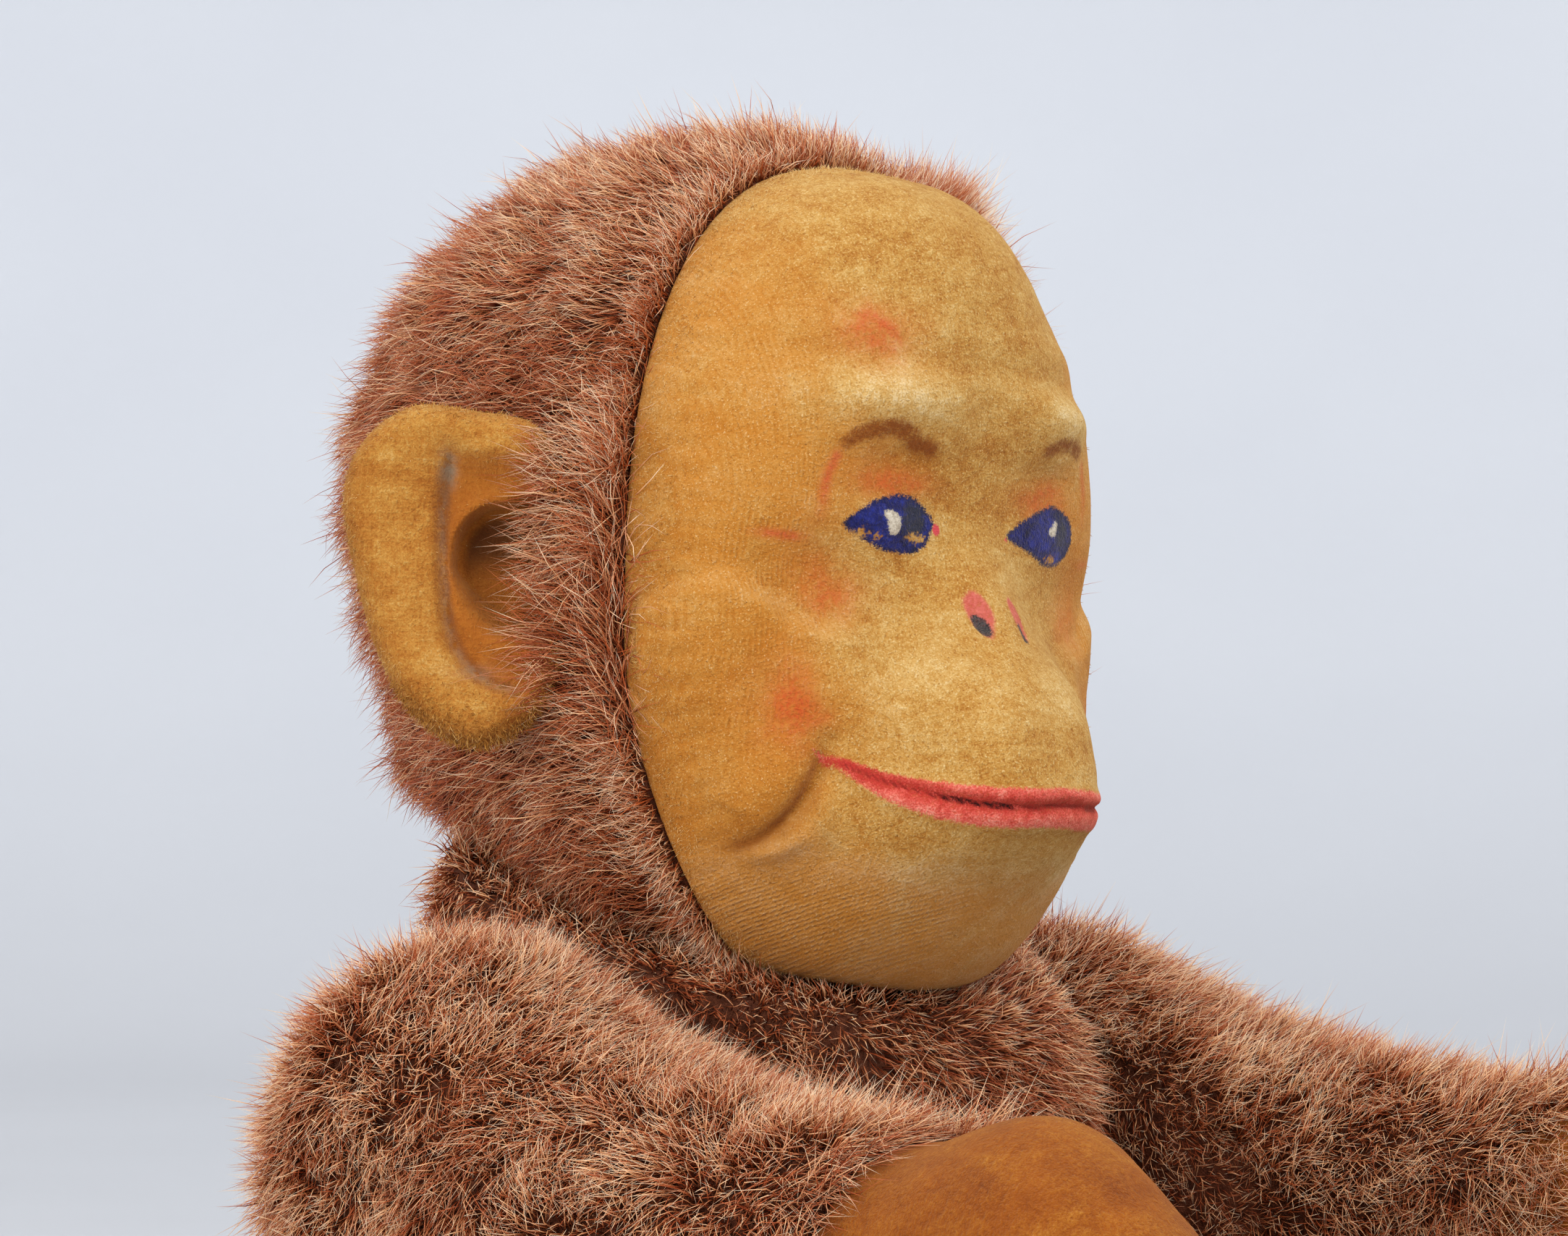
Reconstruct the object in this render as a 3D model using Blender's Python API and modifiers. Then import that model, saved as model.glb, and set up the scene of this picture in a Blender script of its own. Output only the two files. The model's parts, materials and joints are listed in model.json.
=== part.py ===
"""A jointed toy monkey, seated, 19 cm high.

A stuffed chimpanzee of brown mohair with a moulded velvet face, velvet ears,
hands and feet. The head turns, and the arms and legs swing, each on two
hardboard discs held by a cotter pin with two washers.

Units of the driving dimensions are millimetres. +Z is up, the toy faces -Y,
its left is +X. The origin is the middle of the flat seat.
"""

import math

import bmesh
import bpy
import numpy as np
from mathutils import Matrix, Vector

MM = 0.001

# ---- driving dimensions, mm ----
HEAD_Z = 143.0  # height of the head's centre above the seat
NECK = Vector((0.0, -4.0, 106.3))  # middle of the neck joint
NECK_TILT = math.radians(20.0)  # the neck joint slopes down to the front
HEAD_TURN = math.radians(-6.0)  # the head looks a little to its right
SHOULDER = Vector((33.6, -10.5, 82.5))  # the left joint; x is its plane
HIP = Vector((27.0, -4.0, 22.0))
CLOTH = 1.2  # thickness of plush and velvet
GAP = 0.3  # between neighbouring pieces
STUFFING_INSET = 1.7  # from the outside of the cloth to the stuffing
DISC_THICK = 2.5
DISC_R = {"neck": 13.0, "shoulder": 8.6, "hip": 9.6}
WASHER_R = 6.0
WASHER_THICK = 0.8
WIRE_R = 0.55  # the cotter pin's wire
STRAND = 0.75  # half the distance between its two strands
PIN_HOLE_R = 1.7

# head, in coordinates about the head's centre
FACE_MID = -2.0  # height of the face's widest place
FACE_HALF_WIDTH = 29.0
FACE_UP = 41.0
FACE_DOWN = 44.0
SEAM_Y = -15.5  # plane of the seam between face and plush
SEAM_LEAN = 5.5  # how far the seam comes forward under the chin
BACK_DEPTH = 43.5
SEAM_COS = 0.927
# the face from the chin to the crown: (height, share of the full depth, roundness from side to side)
FACE_PROFILE = [
    (-46, 0.97, 2.0),
    (-36, 0.95, 2.1),
    (-30, 0.91, 2.2),
    (-24, 0.84, 2.35),
    (-18, 0.79, 2.5),
    (-12, 0.75, 2.6),
    (-6, 0.755, 2.6),
    (0, 0.79, 2.7),
    (5, 0.82, 2.65),
    (10, 0.86, 2.45),
    (15, 0.885, 2.25),
    (20, 0.89, 2.1),
    (28, 0.92, 2.0),
    (39, 1.0, 2.0),
]
NECK_IN_HEAD = Vector((0.0, -4.0, NECK.z - HEAD_Z))
NECK_N = Vector((0.0, -math.sin(NECK_TILT), math.cos(NECK_TILT)))


# ---- small helpers ----
def step01(t):
    t = min(1.0, max(0.0, t))
    return t * t * (3.0 - 2.0 * t)


def bump(x, z, cx, cz, rx, rz, power=2.0):
    """A smooth mound of height 1."""
    return math.exp(-(abs((x - cx) / rx) ** power) - (abs((z - cz) / rz) ** power))


def through(stations, s):
    """A smooth line through (s, value, ...) stations: cubic Hermite."""
    k = np.array(stations, float)
    x, v = k[:, 0], k[:, 1:]
    m = np.gradient(v, x, axis=0)
    s = min(max(s, x[0]), x[-1])
    i = min(int(np.searchsorted(x, s, "right")) - 1, len(x) - 2)
    h = x[i + 1] - x[i]
    t = (s - x[i]) / h
    return (
        (2 * t**3 - 3 * t**2 + 1) * v[i]
        + (t**3 - 2 * t**2 + t) * h * m[i]
        + (-2 * t**3 + 3 * t**2) * v[i + 1]
        + (t**3 - t**2) * h * m[i + 1]
    )


# ---- head shape ----
def outline(phi):
    """Radius of the face's outline from its middle, in direction phi (0 = +X, 90 degrees = up)."""
    c, s = math.cos(phi), math.sin(phi)
    n, b = (2.25, FACE_UP) if s >= 0 else (2.8, FACE_DOWN)
    return (abs(c / FACE_HALF_WIDTH) ** n + abs(s / b) ** n) ** (-1.0 / n)


def half_width(z):
    n, b = (2.25, FACE_UP) if z >= FACE_MID else (2.8, FACE_DOWN)
    t = min(1.0, abs((z - FACE_MID) / b))
    return FACE_HALF_WIDTH * (1.0 - t**n) ** (1.0 / n)


def seam_y(z):
    return SEAM_Y - SEAM_LEAN * step01((-10.0 - z) / 33.0)


def face_y(x, z):
    """Front surface of the face at (x, z)."""
    b = FACE_UP if z >= FACE_MID else FACE_DOWN
    t = min(1.0, abs((z - FACE_MID) / b))
    share, n = through(FACE_PROFILE, z)
    mid = 24.3 * share * (1.0 - t ** (4.5 if z >= FACE_MID else 3.0)) ** (1.0 / 2.0)
    w = max(half_width(z), 1e-6)
    bow = (0.5 + 0.3 * step01((-24.0 - z) / 16.0)) * 2.0 / n
    depth = mid * max(0.0, 1.0 - abs(x / w) ** n) ** bow
    depth += 11.0 * bump(x, z, 0, -20.8, 13.5, 10.8, 3.2)  # muzzle
    depth += 4.4 * bump(x, z, 0, -7.0, 6.5, 6.0)  # nose
    depth += 1.0 * bump(abs(x), z, 10, 13.5, 9, 4.5)  # brow
    depth -= 0.8 * bump(abs(x), z, 11, 3.0, 7, 5)  # eye socket
    return seam_y(z) - depth


def onto_neck(p, sign):
    """Flatten what crosses the neck joint: sign +1 for the head, -1 for the torso."""
    centre = NECK_IN_HEAD if sign > 0 else NECK
    d = NECK_N.dot(p - centre) * sign
    return p + NECK_N * (sign * (GAP - d)) if d < GAP else p


def head_point(c):
    """From a unit ball whose +Z pole is the nose and whose +Y is up."""
    rho = math.hypot(c.x, c.y)
    phi = math.atan2(c.y, c.x) if rho > 1e-9 else 0.0
    r = outline(phi)
    cz = min(1.0, max(-1.0, c.z))
    if cz >= -1e-6:
        x, z = rho * r * math.cos(phi), FACE_MID + rho * r * math.sin(phi)
        p = Vector((x, face_y(x, z), z))
    else:
        e = (math.acos(cz) - math.pi / 2) / (math.pi / 2)
        start = -math.acos(SEAM_COS)
        beta = start + (math.pi / 2 - start) * e
        k = math.cos(beta) ** (0.85 if beta > 0 else 1.0) / SEAM_COS * r
        x, z = k * math.cos(phi), FACE_MID + k * math.sin(phi)
        lean = seam_y(FACE_MID + r * math.sin(phi)) - SEAM_Y
        y = BACK_DEPTH * math.sin(beta) + lean * (1 - e) ** 2
        y += SEAM_Y + BACK_DEPTH * math.sin(math.acos(SEAM_COS))
        f = 1.0 - 0.13 * step01((14.0 - z) / 38.0) * step01((y - SEAM_Y) / 24.0)
        p = Vector((x * f, SEAM_Y + (y - SEAM_Y) * f, z))
    return onto_neck(p, +1)


HEAD_MATRIX = (
    Matrix.Translation(NECK)
    @ Matrix.Rotation(HEAD_TURN, 4, NECK_N)
    @ Matrix.Translation(-NECK)
    @ Matrix.Translation((0, 0, HEAD_Z))
)


# ---- a stuffed limb or torso: a ball drawn out along a spine ----
class Form:
    """spine: (y, z) points. stations: (s, half width in x, extent on the back or upper side, extent on
    the front or lower side), with s along the spine. The two ends are domes of length dome0 and dome1.
    splay: how far the form leans outwards for each unit forward of the shoulder."""

    def __init__(self, spine, stations, centre_x, dome0, dome1, power, limit, splay=0.0):
        pts = [np.array(p, float) for p in spine]
        s = [0.0]
        for a, b in zip(pts, pts[1:]):
            s.append(s[-1] + float(np.linalg.norm(b - a)))
        self.spine = [(k, p[0], p[1]) for k, p in zip(s, pts)]
        self.length = s[-1]
        self.stations = stations
        self.centre_x = centre_x
        self.dome0, self.dome1, self.power, self.limit = dome0, dome1, power, limit
        self.splay = splay

    def at(self, s, theta, side=1):
        y, z = through(self.spine, s)
        a = through(self.spine, min(s + 0.5, self.length))
        b = through(self.spine, max(s - 0.5, 0.0))
        ty, tz = a - b
        k = math.hypot(ty, tz)
        ty, tz = ty / k, tz / k
        w, up, dn = through(self.stations, s)
        f = 1.0
        if s < self.dome0:
            f = max(0.0, 1.0 - (1.0 - s / self.dome0) ** self.power) ** (1.0 / self.power)
        if s > self.length - self.dome1:
            t = max(0.0, (self.length - s) / self.dome1)
            f = max(0.0, 1.0 - (1.0 - t) ** self.power) ** (1.0 / self.power)
        c, n = math.cos(theta), math.sin(theta)
        q = (abs(c) ** self.power + abs(n) ** self.power) ** (-1.0 / self.power)
        forward = SHOULDER.y - y
        x = self.centre_x + self.splay * 0.5 * (forward + math.hypot(forward, 8.0))
        x += w * f * c * q
        h = (dn if n > 0 else up) * f * n * q
        # the lower side's direction is X cross the spine's direction
        p = Vector((x, y + h * -tz, z + h * ty))
        p = self.limit(p)
        return Vector((p.x * side, p.y, p.z))

    def ring_s(self, ring, rings):
        return self.length * (1.0 - math.cos(math.pi * ring / rings[1])) / 2.0

    def direction(self, s):
        a = through(self.spine, min(s + 0.5, self.length))
        b = through(self.spine, max(s - 0.5, 0.0))
        return Vector((0, *(a - b))).normalized()

    def point(self, c, side=1):
        s = self.length * (1.0 - c.z) / 2.0
        theta = math.atan2(c.y, c.x) if abs(c.z) < 1 - 1e-9 else 0.0
        return self.at(s, theta, side)


def torso_limit(p):
    x = abs(p.x)
    shoulder = SHOULDER.x - GAP + max(0.0, 58.0 - p.z) * 0.5
    up = max(0.0, p.z - HIP.z)
    r = math.hypot(p.y - HIP.y, p.z - HIP.z) if p.y > HIP.y else up
    hip = HIP.x - GAP + max(0.0, r - 26.0) * 0.9
    x = min(x, shoulder, hip)
    p = Vector((math.copysign(x, p.x), p.y, max(0.0, p.z)))
    return onto_neck(p, -1)


def arm_limit(p):
    return Vector((max(p.x, SHOULDER.x + GAP), p.y, p.z))


def leg_limit(p):
    return Vector((max(p.x, HIP.x + GAP), p.y, max(p.z, 0.4)))


TORSO = Form(
    spine=[(0, -8), (-2, 30), (-5, 60), (-6, 85), (-2, 137)],
    stations=[
        (0, 22, 20, 22),
        (8, 27, 24, 27),
        (33, 33, 31, 35),
        (55, 35.5, 31, 37),
        (75, 36.5, 28, 34),
        (92, 38.5, 27, 29),
        (106, 36.5, 27, 25),
        (120, 32, 27, 23),
        (146, 26, 23, 22),
    ],
    centre_x=0,
    dome0=20,
    dome1=22,
    power=2.2,
    limit=torso_limit,
)
ARM = Form(
    spine=[
        (SHOULDER.y + 18, SHOULDER.z + 3),
        (SHOULDER.y, SHOULDER.z),
        (SHOULDER.y - 30, SHOULDER.z - 5.5),
        (SHOULDER.y - 60, SHOULDER.z - 9.5),
        (SHOULDER.y - 84, SHOULDER.z - 14),
        (SHOULDER.y - 102, SHOULDER.z - 28),
    ],
    stations=[
        (0, 18.5, 19.5, 19.5),
        (18, 18.5, 19, 19.5),
        (34.5, 17.8, 14.8, 18),
        (49.5, 16.5, 13.2, 16),
        (78.5, 13.5, 14, 13.5),
        (92.5, 12, 18.5, 13),
        (104.5, 11, 13, 12),
        (116.5, 10, 9.5, 10),
        (127.5, 9.5, 8, 8),
    ],
    centre_x=46.4,
    dome0=17,
    dome1=13,
    power=2.15,
    limit=arm_limit,
    splay=0.16,
)
LEG = Form(
    spine=[
        (18, 22),
        (-4, 22),
        (-34, 19.6),
        (-70, 15.9),
        (-100, 13.8),
        (-114, 15.5),
        (-123, 23),
        (-127.5, 34),
        (-131, 49),
    ],
    stations=[
        (0, 19, 21.5, 21.5),
        (22, 19, 21.5, 21.5),
        (52, 17, 19.5, 19.2),
        (88, 15, 16, 15.5),
        (118, 13.5, 13.5, 13.4),
        (132, 13.5, 11.5, 14.5),
        (146, 13.5, 9.5, 12.5),
        (157, 13.5, 8.5, 10.5),
        (172, 12, 7, 8.5),
    ],
    centre_x=41.5,
    dome0=21,
    dome1=12,
    power=2.2,
    limit=leg_limit,
)

# rings round each form and from end to end; the seams lie on rings
HEAD_RINGS = (30, 24)
TORSO_RINGS = (24, 20)
ARM_RINGS = (16, 16)
LEG_RINGS = (16, 18)
WRIST_RING = 9
ANKLE_RING = 12


# ---- scene and objects ----
for old in list(bpy.data.objects):
    bpy.data.objects.remove(old, do_unlink=True)

parts = bpy.data.collections.new("toy_monkey")
cutters = bpy.data.collections.new("cutters")
bpy.context.scene.collection.children.link(parts)
bpy.context.scene.collection.children.link(cutters)

MOHAIR = (0.30, 0.13, 0.08)
VELVET = (0.58, 0.33, 0.08)
EAR_VELVET = (0.55, 0.25, 0.04)
WOOD_WOOL = (0.66, 0.52, 0.30)
HARDBOARD = (0.33, 0.22, 0.13)
STEEL = (0.55, 0.55, 0.56)


def finish_object(obj, colour, roughness, metallic=0.0):
    mat = bpy.data.materials.new(obj.name)
    mat.use_nodes = True
    bsdf = mat.node_tree.nodes["Principled BSDF"]
    bsdf.inputs["Base Color"].default_value = (*colour, 1.0)
    bsdf.inputs["Roughness"].default_value = roughness
    bsdf.inputs["Metallic"].default_value = metallic
    mat.diffuse_color = (*colour, 1.0)
    obj.data.materials.clear()
    obj.data.materials.append(mat)


def new_object(name, mesh, collection=None):
    obj = bpy.data.objects.new(name, mesh)
    (collection or parts).objects.link(obj)
    return obj


def axis_empty(name, point, direction):
    """An empty on a joint, its Z along the joint's axis, into the limb."""
    e = bpy.data.objects.new(name, None)
    parts.objects.link(e)
    e.empty_display_size = 0.01
    turn = Vector((0, 0, 1)).rotation_difference(Vector(direction)).to_matrix().to_4x4()
    e.matrix_world = Matrix.Translation(Vector(point) * MM) @ turn
    return e


def hang_on(obj, empty):
    """Parent to the empty and keep the world place; the object's own origin moves to the empty."""
    obj.data.transform(empty.matrix_world.inverted())
    obj.parent = empty
    obj.matrix_parent_inverse = Matrix.Identity(4)
    obj.matrix_basis = Matrix.Identity(4)


def ball_mesh(name, rings, point, first=0, last=None, flip=False, shift=None):
    """A UV sphere with its rings from 'first' to 'last' kept, each point moved by point(unit)."""
    around, along = rings
    last = along if last is None else last
    bm = bmesh.new()
    bmesh.ops.create_uvsphere(bm, u_segments=around, v_segments=along, radius=1.0)
    ring = {v: round(math.acos(min(1, max(-1, v.co.z))) / math.pi * along) for v in bm.verts}
    bmesh.ops.delete(
        bm, geom=[v for v in bm.verts if not first <= ring[v] <= last], context="VERTS"
    )
    for v in bm.verts:
        k = ring[v]
        p = point(v.co.normalized())
        if shift and k in shift:
            p = p + shift[k]
        v.co = p * MM
    if flip:
        bmesh.ops.reverse_faces(bm, faces=bm.faces[:])
    mesh = bpy.data.meshes.new(name)
    bm.to_mesh(mesh)
    bm.free()
    mesh.shade_smooth()
    return mesh


def inset_mesh(mesh, distance):
    """Every point moved inwards along its normal."""
    mesh.update()
    normals = [v.normal.copy() for v in mesh.vertices]
    for v, n in zip(mesh.vertices, normals):
        v.co = v.co - n * (distance * MM)
    mesh.update()
    return mesh


def cloth(obj):
    m = obj.modifiers.new("cloth", "SOLIDIFY")
    m.thickness = CLOTH * MM
    m.offset = -1.0
    m.use_even_offset = True
    return obj


def cut(obj, cutter):
    m = obj.modifiers.new("cut_" + cutter.name, "BOOLEAN")
    m.operation = "DIFFERENCE"
    m.solver = "EXACT"
    m.object = cutter


def turned(name, profile, steps, closed, collection=None):
    """A profile of (radius, height) points, outer side from top to bottom, turned about Z."""
    mesh = bpy.data.meshes.new(name)
    verts = [(r * MM, 0, h * MM) for r, h in profile]
    edges = [(i, i + 1) for i in range(len(verts) - 1)]
    if closed:
        edges.append((len(verts) - 1, 0))
    mesh.from_pydata(verts, edges, [])
    obj = new_object(name, mesh, collection)
    m = obj.modifiers.new("turn", "SCREW")
    m.steps = m.render_steps = steps
    m.use_merge_vertices = True
    m.merge_threshold = 0.000001
    m.use_smooth_shade = True
    return obj


def hide_cutter(obj):
    obj.hide_render = True
    obj.display_type = "WIRE"
    return obj


def washer_ring(name, r_out, r_in, h0, thick, steps):
    top = h0 + thick
    return turned(name, [(r_out, top), (r_out, h0), (r_in, h0), (r_in, top)], steps, True)


def cotter_pin(name):
    """Split pin: an eye in the limb, two strands through the joint, two legs curled over the far washer."""
    half = [
        (STRAND, 5.2),
        (STRAND, 1.7),
        (STRAND, -1.7),
        (STRAND, -5.4),
        (0.85, -6.6),
        (1.25, -7.7),
        (2.1, -8.5),
        (3.1, -8.4),
        (3.9, -7.6),
        (4.2, -6.7),
    ]
    eye = []
    for k in range(9):
        a = math.radians(-58 + (296.0 * k / 8))
        eye.append((2.15 * math.cos(a), 7.25 + 2.15 * math.sin(a)))
    path = list(reversed(half)) + eye + [(-x, h) for x, h in half]
    curve = bpy.data.curves.new(name, "CURVE")
    curve.dimensions = "3D"
    curve.bevel_depth = WIRE_R * MM
    curve.bevel_resolution = 1
    curve.use_fill_caps = True
    spline = curve.splines.new("POLY")
    spline.points.add(len(path) - 1)
    for pt, (x, h) in zip(spline.points, path):
        pt.co = (x * MM, 0, h * MM, 1)
    return new_object(name, curve)


def place_on(obj, empty):
    """For a piece built about its own joint axis."""
    obj.parent = empty
    obj.matrix_parent_inverse = Matrix.Identity(4)


def joint_hardware(kind, side, moving, fixed):
    """Discs, washers and pin of one joint; the limb is on +Z of the joint's empty."""
    tail = "" if side is None else "_" + side
    inner, outer = ("lower", "upper") if kind == "neck" else ("inner", "outer")
    r = DISC_R[kind]
    start = GAP + CLOTH + GAP
    hole = PIN_HOLE_R
    d_in = washer_ring(f"{kind}_disc_{inner}{tail}", r, hole, -start - DISC_THICK, DISC_THICK, 18)
    d_out = washer_ring(f"{kind}_disc_{outer}{tail}", r, hole, start, DISC_THICK, 18)
    w0 = start + DISC_THICK + GAP
    w_in = washer_ring(
        f"{kind}_washer_{inner}{tail}", WASHER_R, hole, -w0 - WASHER_THICK, WASHER_THICK, 14
    )
    w_out = washer_ring(f"{kind}_washer_{outer}{tail}", WASHER_R, hole, w0, WASHER_THICK, 14)
    pin = cotter_pin(f"{kind}_pin{tail}")
    for d in (d_in, d_out):
        finish_object(d, HARDBOARD, 0.8)
    for w in (w_in, w_out, pin):
        finish_object(w, STEEL, 0.4, 0.9)
    place_on(d_in, fixed)
    for o in (d_out, w_in, w_out, pin):
        place_on(o, moving)
    pocket = hide_cutter(
        turned(
            f"pocket_{kind}{tail}",
            [
                (0, 10.6),
                (WASHER_R + 0.8, 10.6),
                (WASHER_R + 0.8, w0),
                (r + 0.6, w0),
                (r + 0.6, -w0),
                (WASHER_R + 0.8, -w0),
                (WASHER_R + 0.8, -10.0),
                (0, -10.0),
            ],
            20,
            False,
            cutters,
        )
    )
    bore = hide_cutter(
        turned(f"bore_{kind}{tail}", [(0, 3.2), (hole, 3.2), (hole, -3.2), (0, -3.2)], 14, False, cutters)
    )
    for c in (pocket, bore):
        place_on(c, moving)
    return pocket, bore


# ---- torso ----
torso_root = axis_empty("torso_frame", (0, 0, 0), (0, 0, 1))
torso_skin = cloth(new_object("torso_skin", ball_mesh("torso_skin", TORSO_RINGS, TORSO.point)))
torso_stuffing = new_object(
    "torso_stuffing",
    inset_mesh(ball_mesh("torso_stuffing", TORSO_RINGS, TORSO.point), STUFFING_INSET + 0.8),
)
finish_object(torso_skin, MOHAIR, 0.9)
finish_object(torso_stuffing, WOOD_WOOL, 0.9)
for o in (torso_skin, torso_stuffing):
    hang_on(o, torso_root)

# ---- head ----
head_axis = axis_empty("neck_axis", NECK, NECK_N)
neck_fixed = axis_empty("neck_seat", NECK, NECK_N)
pocket, bore = joint_hardware("neck", None, head_axis, neck_fixed)


def in_head(mesh):
    mesh.transform(
        Matrix.Scale(MM, 4) @ HEAD_MATRIX @ Matrix.Scale(1 / MM, 4)
    )
    return mesh


seam = HEAD_RINGS[1] // 2
forward, backward = Vector((0, -0.25, 0)), Vector((0, 0.25, 0))
face_mask = cloth(
    new_object(
        "face_mask",
        in_head(
            ball_mesh(
                "face_mask",
                HEAD_RINGS,
                lambda c: head_point(c) + forward,
                last=seam,
            )
        ),
    )
)
head_skin = cloth(
    new_object(
        "head_skin",
        in_head(
            ball_mesh(
                "head_skin", HEAD_RINGS, head_point, first=seam, shift={seam: backward}
            )
        ),
    )
)
head_stuffing = new_object(
    "head_stuffing",
    in_head(inset_mesh(ball_mesh("head_stuffing", HEAD_RINGS, head_point), STUFFING_INSET + 0.1)),
)
finish_object(face_mask, VELVET, 0.85)
finish_object(head_skin, MOHAIR, 0.9)
finish_object(head_stuffing, WOOD_WOOL, 0.9)
for o in (face_mask, head_skin, head_stuffing):
    hang_on(o, head_axis)
cut(head_skin, bore)
cut(head_stuffing, pocket)
cut(torso_skin, bore)
cut(torso_stuffing, pocket)

# ---- ears ----
EAR_ROOT = Vector((32.6, -6.0, -4.6))  # middle of the sewn edge, in the head
EAR_OUT = Vector((0.67, 0.742, 0.0))
EAR_FRONT = Vector((0.742, -0.67, 0.0))
EAR_HALF = (10.2, 2.0, 16.6)  # outwards, thickness, height


def ear_point(side):
    def point(c):
        a = EAR_HALF[0] * c.z * (1.0 if c.z > 0 else 1.33)
        h = EAR_HALF[2] * c.y * (1.0 + 0.12 * c.z)
        cup = 1.6 * (c.z**2 + c.y**2 * 0.8)
        t = EAR_HALF[1] * c.x + cup
        p = EAR_ROOT + EAR_OUT * (a + 8.4) + EAR_FRONT * t + Vector((0, 0, h))
        return Vector((p.x * side, p.y, p.z))

    return point


for side, sign in (("left", 1), ("right", -1)):
    ear = new_object(
        f"ear_{side}",
        in_head(ball_mesh(f"ear_{side}", (14, 10), ear_point(sign), flip=sign > 0)),
    )
    finish_object(ear, EAR_VELVET, 0.85)
    hang_on(ear, head_axis)

# ---- arms and legs ----
for side, sign in (("left", 1), ("right", -1)):
    for kind, limb, end, form, rings, ring, at in (
        ("shoulder", "arm", "hand", ARM, ARM_RINGS, WRIST_RING, SHOULDER),
        ("hip", "leg", "foot", LEG, LEG_RINGS, ANKLE_RING, HIP),
    ):
        point = Vector((at.x * sign, at.y, at.z))
        axis = axis_empty(f"{kind}_axis_{side}", point, (sign, 0, 0))
        fixed = axis_empty(f"{kind}_seat_{side}", point, (sign, 0, 0))
        pocket, bore = joint_hardware(kind, side, axis, fixed)

        def on_form(c, form=form, sign=sign):
            return form.point(c, sign)

        flip = sign < 0
        along = form.direction(form.ring_s(ring, rings)) * 0.45
        skin = cloth(
            new_object(
                f"{limb}_skin_{side}",
                ball_mesh(
                    f"{limb}_skin_{side}",
                    rings,
                    on_form,
                    last=ring,
                    flip=flip,
                    shift={ring: -along},
                ),
            )
        )
        tip = cloth(
            new_object(
                f"{end}_{side}",
                ball_mesh(
                    f"{end}_{side}",
                    rings,
                    on_form,
                    first=ring,
                    flip=flip,
                    shift={ring: along},
                ),
            )
        )
        stuffing = new_object(
            f"{limb}_stuffing_{side}",
            inset_mesh(
                ball_mesh(f"{limb}_stuffing_{side}", rings, on_form, flip=flip),
                STUFFING_INSET + 0.6,
            ),
        )
        finish_object(skin, MOHAIR, 0.9)
        finish_object(tip, VELVET, 0.85)
        finish_object(stuffing, WOOD_WOOL, 0.9)
        for o in (skin, tip, stuffing):
            hang_on(o, axis)
        cut(skin, bore)
        cut(stuffing, pocket)
        cut(torso_skin, bore)
        cut(torso_stuffing, pocket)

bpy.context.view_layer.update()
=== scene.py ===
"""Looks of the jointed toy monkey: mohair pile, painted velvet face, velvet ears, hands and feet.

Lengths here are millimetres until a mesh is made. The shapes repeat the part's own
shape functions, so that each soft piece lies where its solid is.
"""

import json
import math

import bpy
import numpy as np
from mathutils import Matrix, Vector


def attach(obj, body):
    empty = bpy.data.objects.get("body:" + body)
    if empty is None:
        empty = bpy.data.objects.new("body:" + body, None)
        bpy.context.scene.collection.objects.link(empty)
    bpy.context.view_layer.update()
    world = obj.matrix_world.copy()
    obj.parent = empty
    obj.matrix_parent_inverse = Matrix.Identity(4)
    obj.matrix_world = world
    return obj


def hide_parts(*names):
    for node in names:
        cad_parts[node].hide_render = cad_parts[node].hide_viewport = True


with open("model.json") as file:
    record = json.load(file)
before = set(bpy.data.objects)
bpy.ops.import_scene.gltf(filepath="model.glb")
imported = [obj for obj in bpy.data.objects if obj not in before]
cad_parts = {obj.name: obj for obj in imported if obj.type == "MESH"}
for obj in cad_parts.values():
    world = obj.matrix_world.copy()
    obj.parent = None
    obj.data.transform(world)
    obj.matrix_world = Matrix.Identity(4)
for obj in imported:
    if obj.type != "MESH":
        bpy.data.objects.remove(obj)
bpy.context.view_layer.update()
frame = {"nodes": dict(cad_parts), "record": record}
MM = 0.001
scene = bpy.context.scene
scene.view_settings.view_transform = "Standard"
scene.view_settings.look = "None"

# ------------------------------------------------------------------ the part's dimensions
HEAD_Z = 143.0
NECK = np.array([0.0, -4.0, 106.3])
NECK_TILT = math.radians(20.0)
HEAD_TURN = math.radians(-6.0)
SHOULDER = np.array([33.6, -10.5, 82.5])
HIP = np.array([27.0, -4.0, 22.0])
GAP = 0.3
FACE_MID, FACE_HALF_WIDTH, FACE_UP, FACE_DOWN = -2.0, 29.0, 41.0, 44.0
SEAM_Y, SEAM_LEAN, BACK_DEPTH, SEAM_COS = -15.5, 5.5, 43.5, 0.927
FACE_PROFILE = [
    (-46, 0.97, 2.0),
    (-36, 0.95, 2.1),
    (-30, 0.91, 2.2),
    (-24, 0.84, 2.35),
    (-18, 0.79, 2.5),
    (-12, 0.75, 2.6),
    (-6, 0.755, 2.6),
    (0, 0.79, 2.7),
    (5, 0.82, 2.65),
    (10, 0.86, 2.45),
    (15, 0.885, 2.25),
    (20, 0.89, 2.1),
    (28, 0.92, 2.0),
    (39, 1.0, 2.0),
]
NECK_N = np.array([0.0, -math.sin(NECK_TILT), math.cos(NECK_TILT)])
NECK_IN_HEAD = np.array([0.0, -4.0, NECK[2] - HEAD_Z])


# ------------------------------------------------------------------ small maths
def step01(t):
    t = np.clip(t, 0.0, 1.0)
    return t * t * (3.0 - 2.0 * t)


def bump(x, z, cx, cz, rx, rz, power=2.0):
    return np.exp(-(np.abs((x - cx) / rx) ** power) - (np.abs((z - cz) / rz) ** power))


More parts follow.
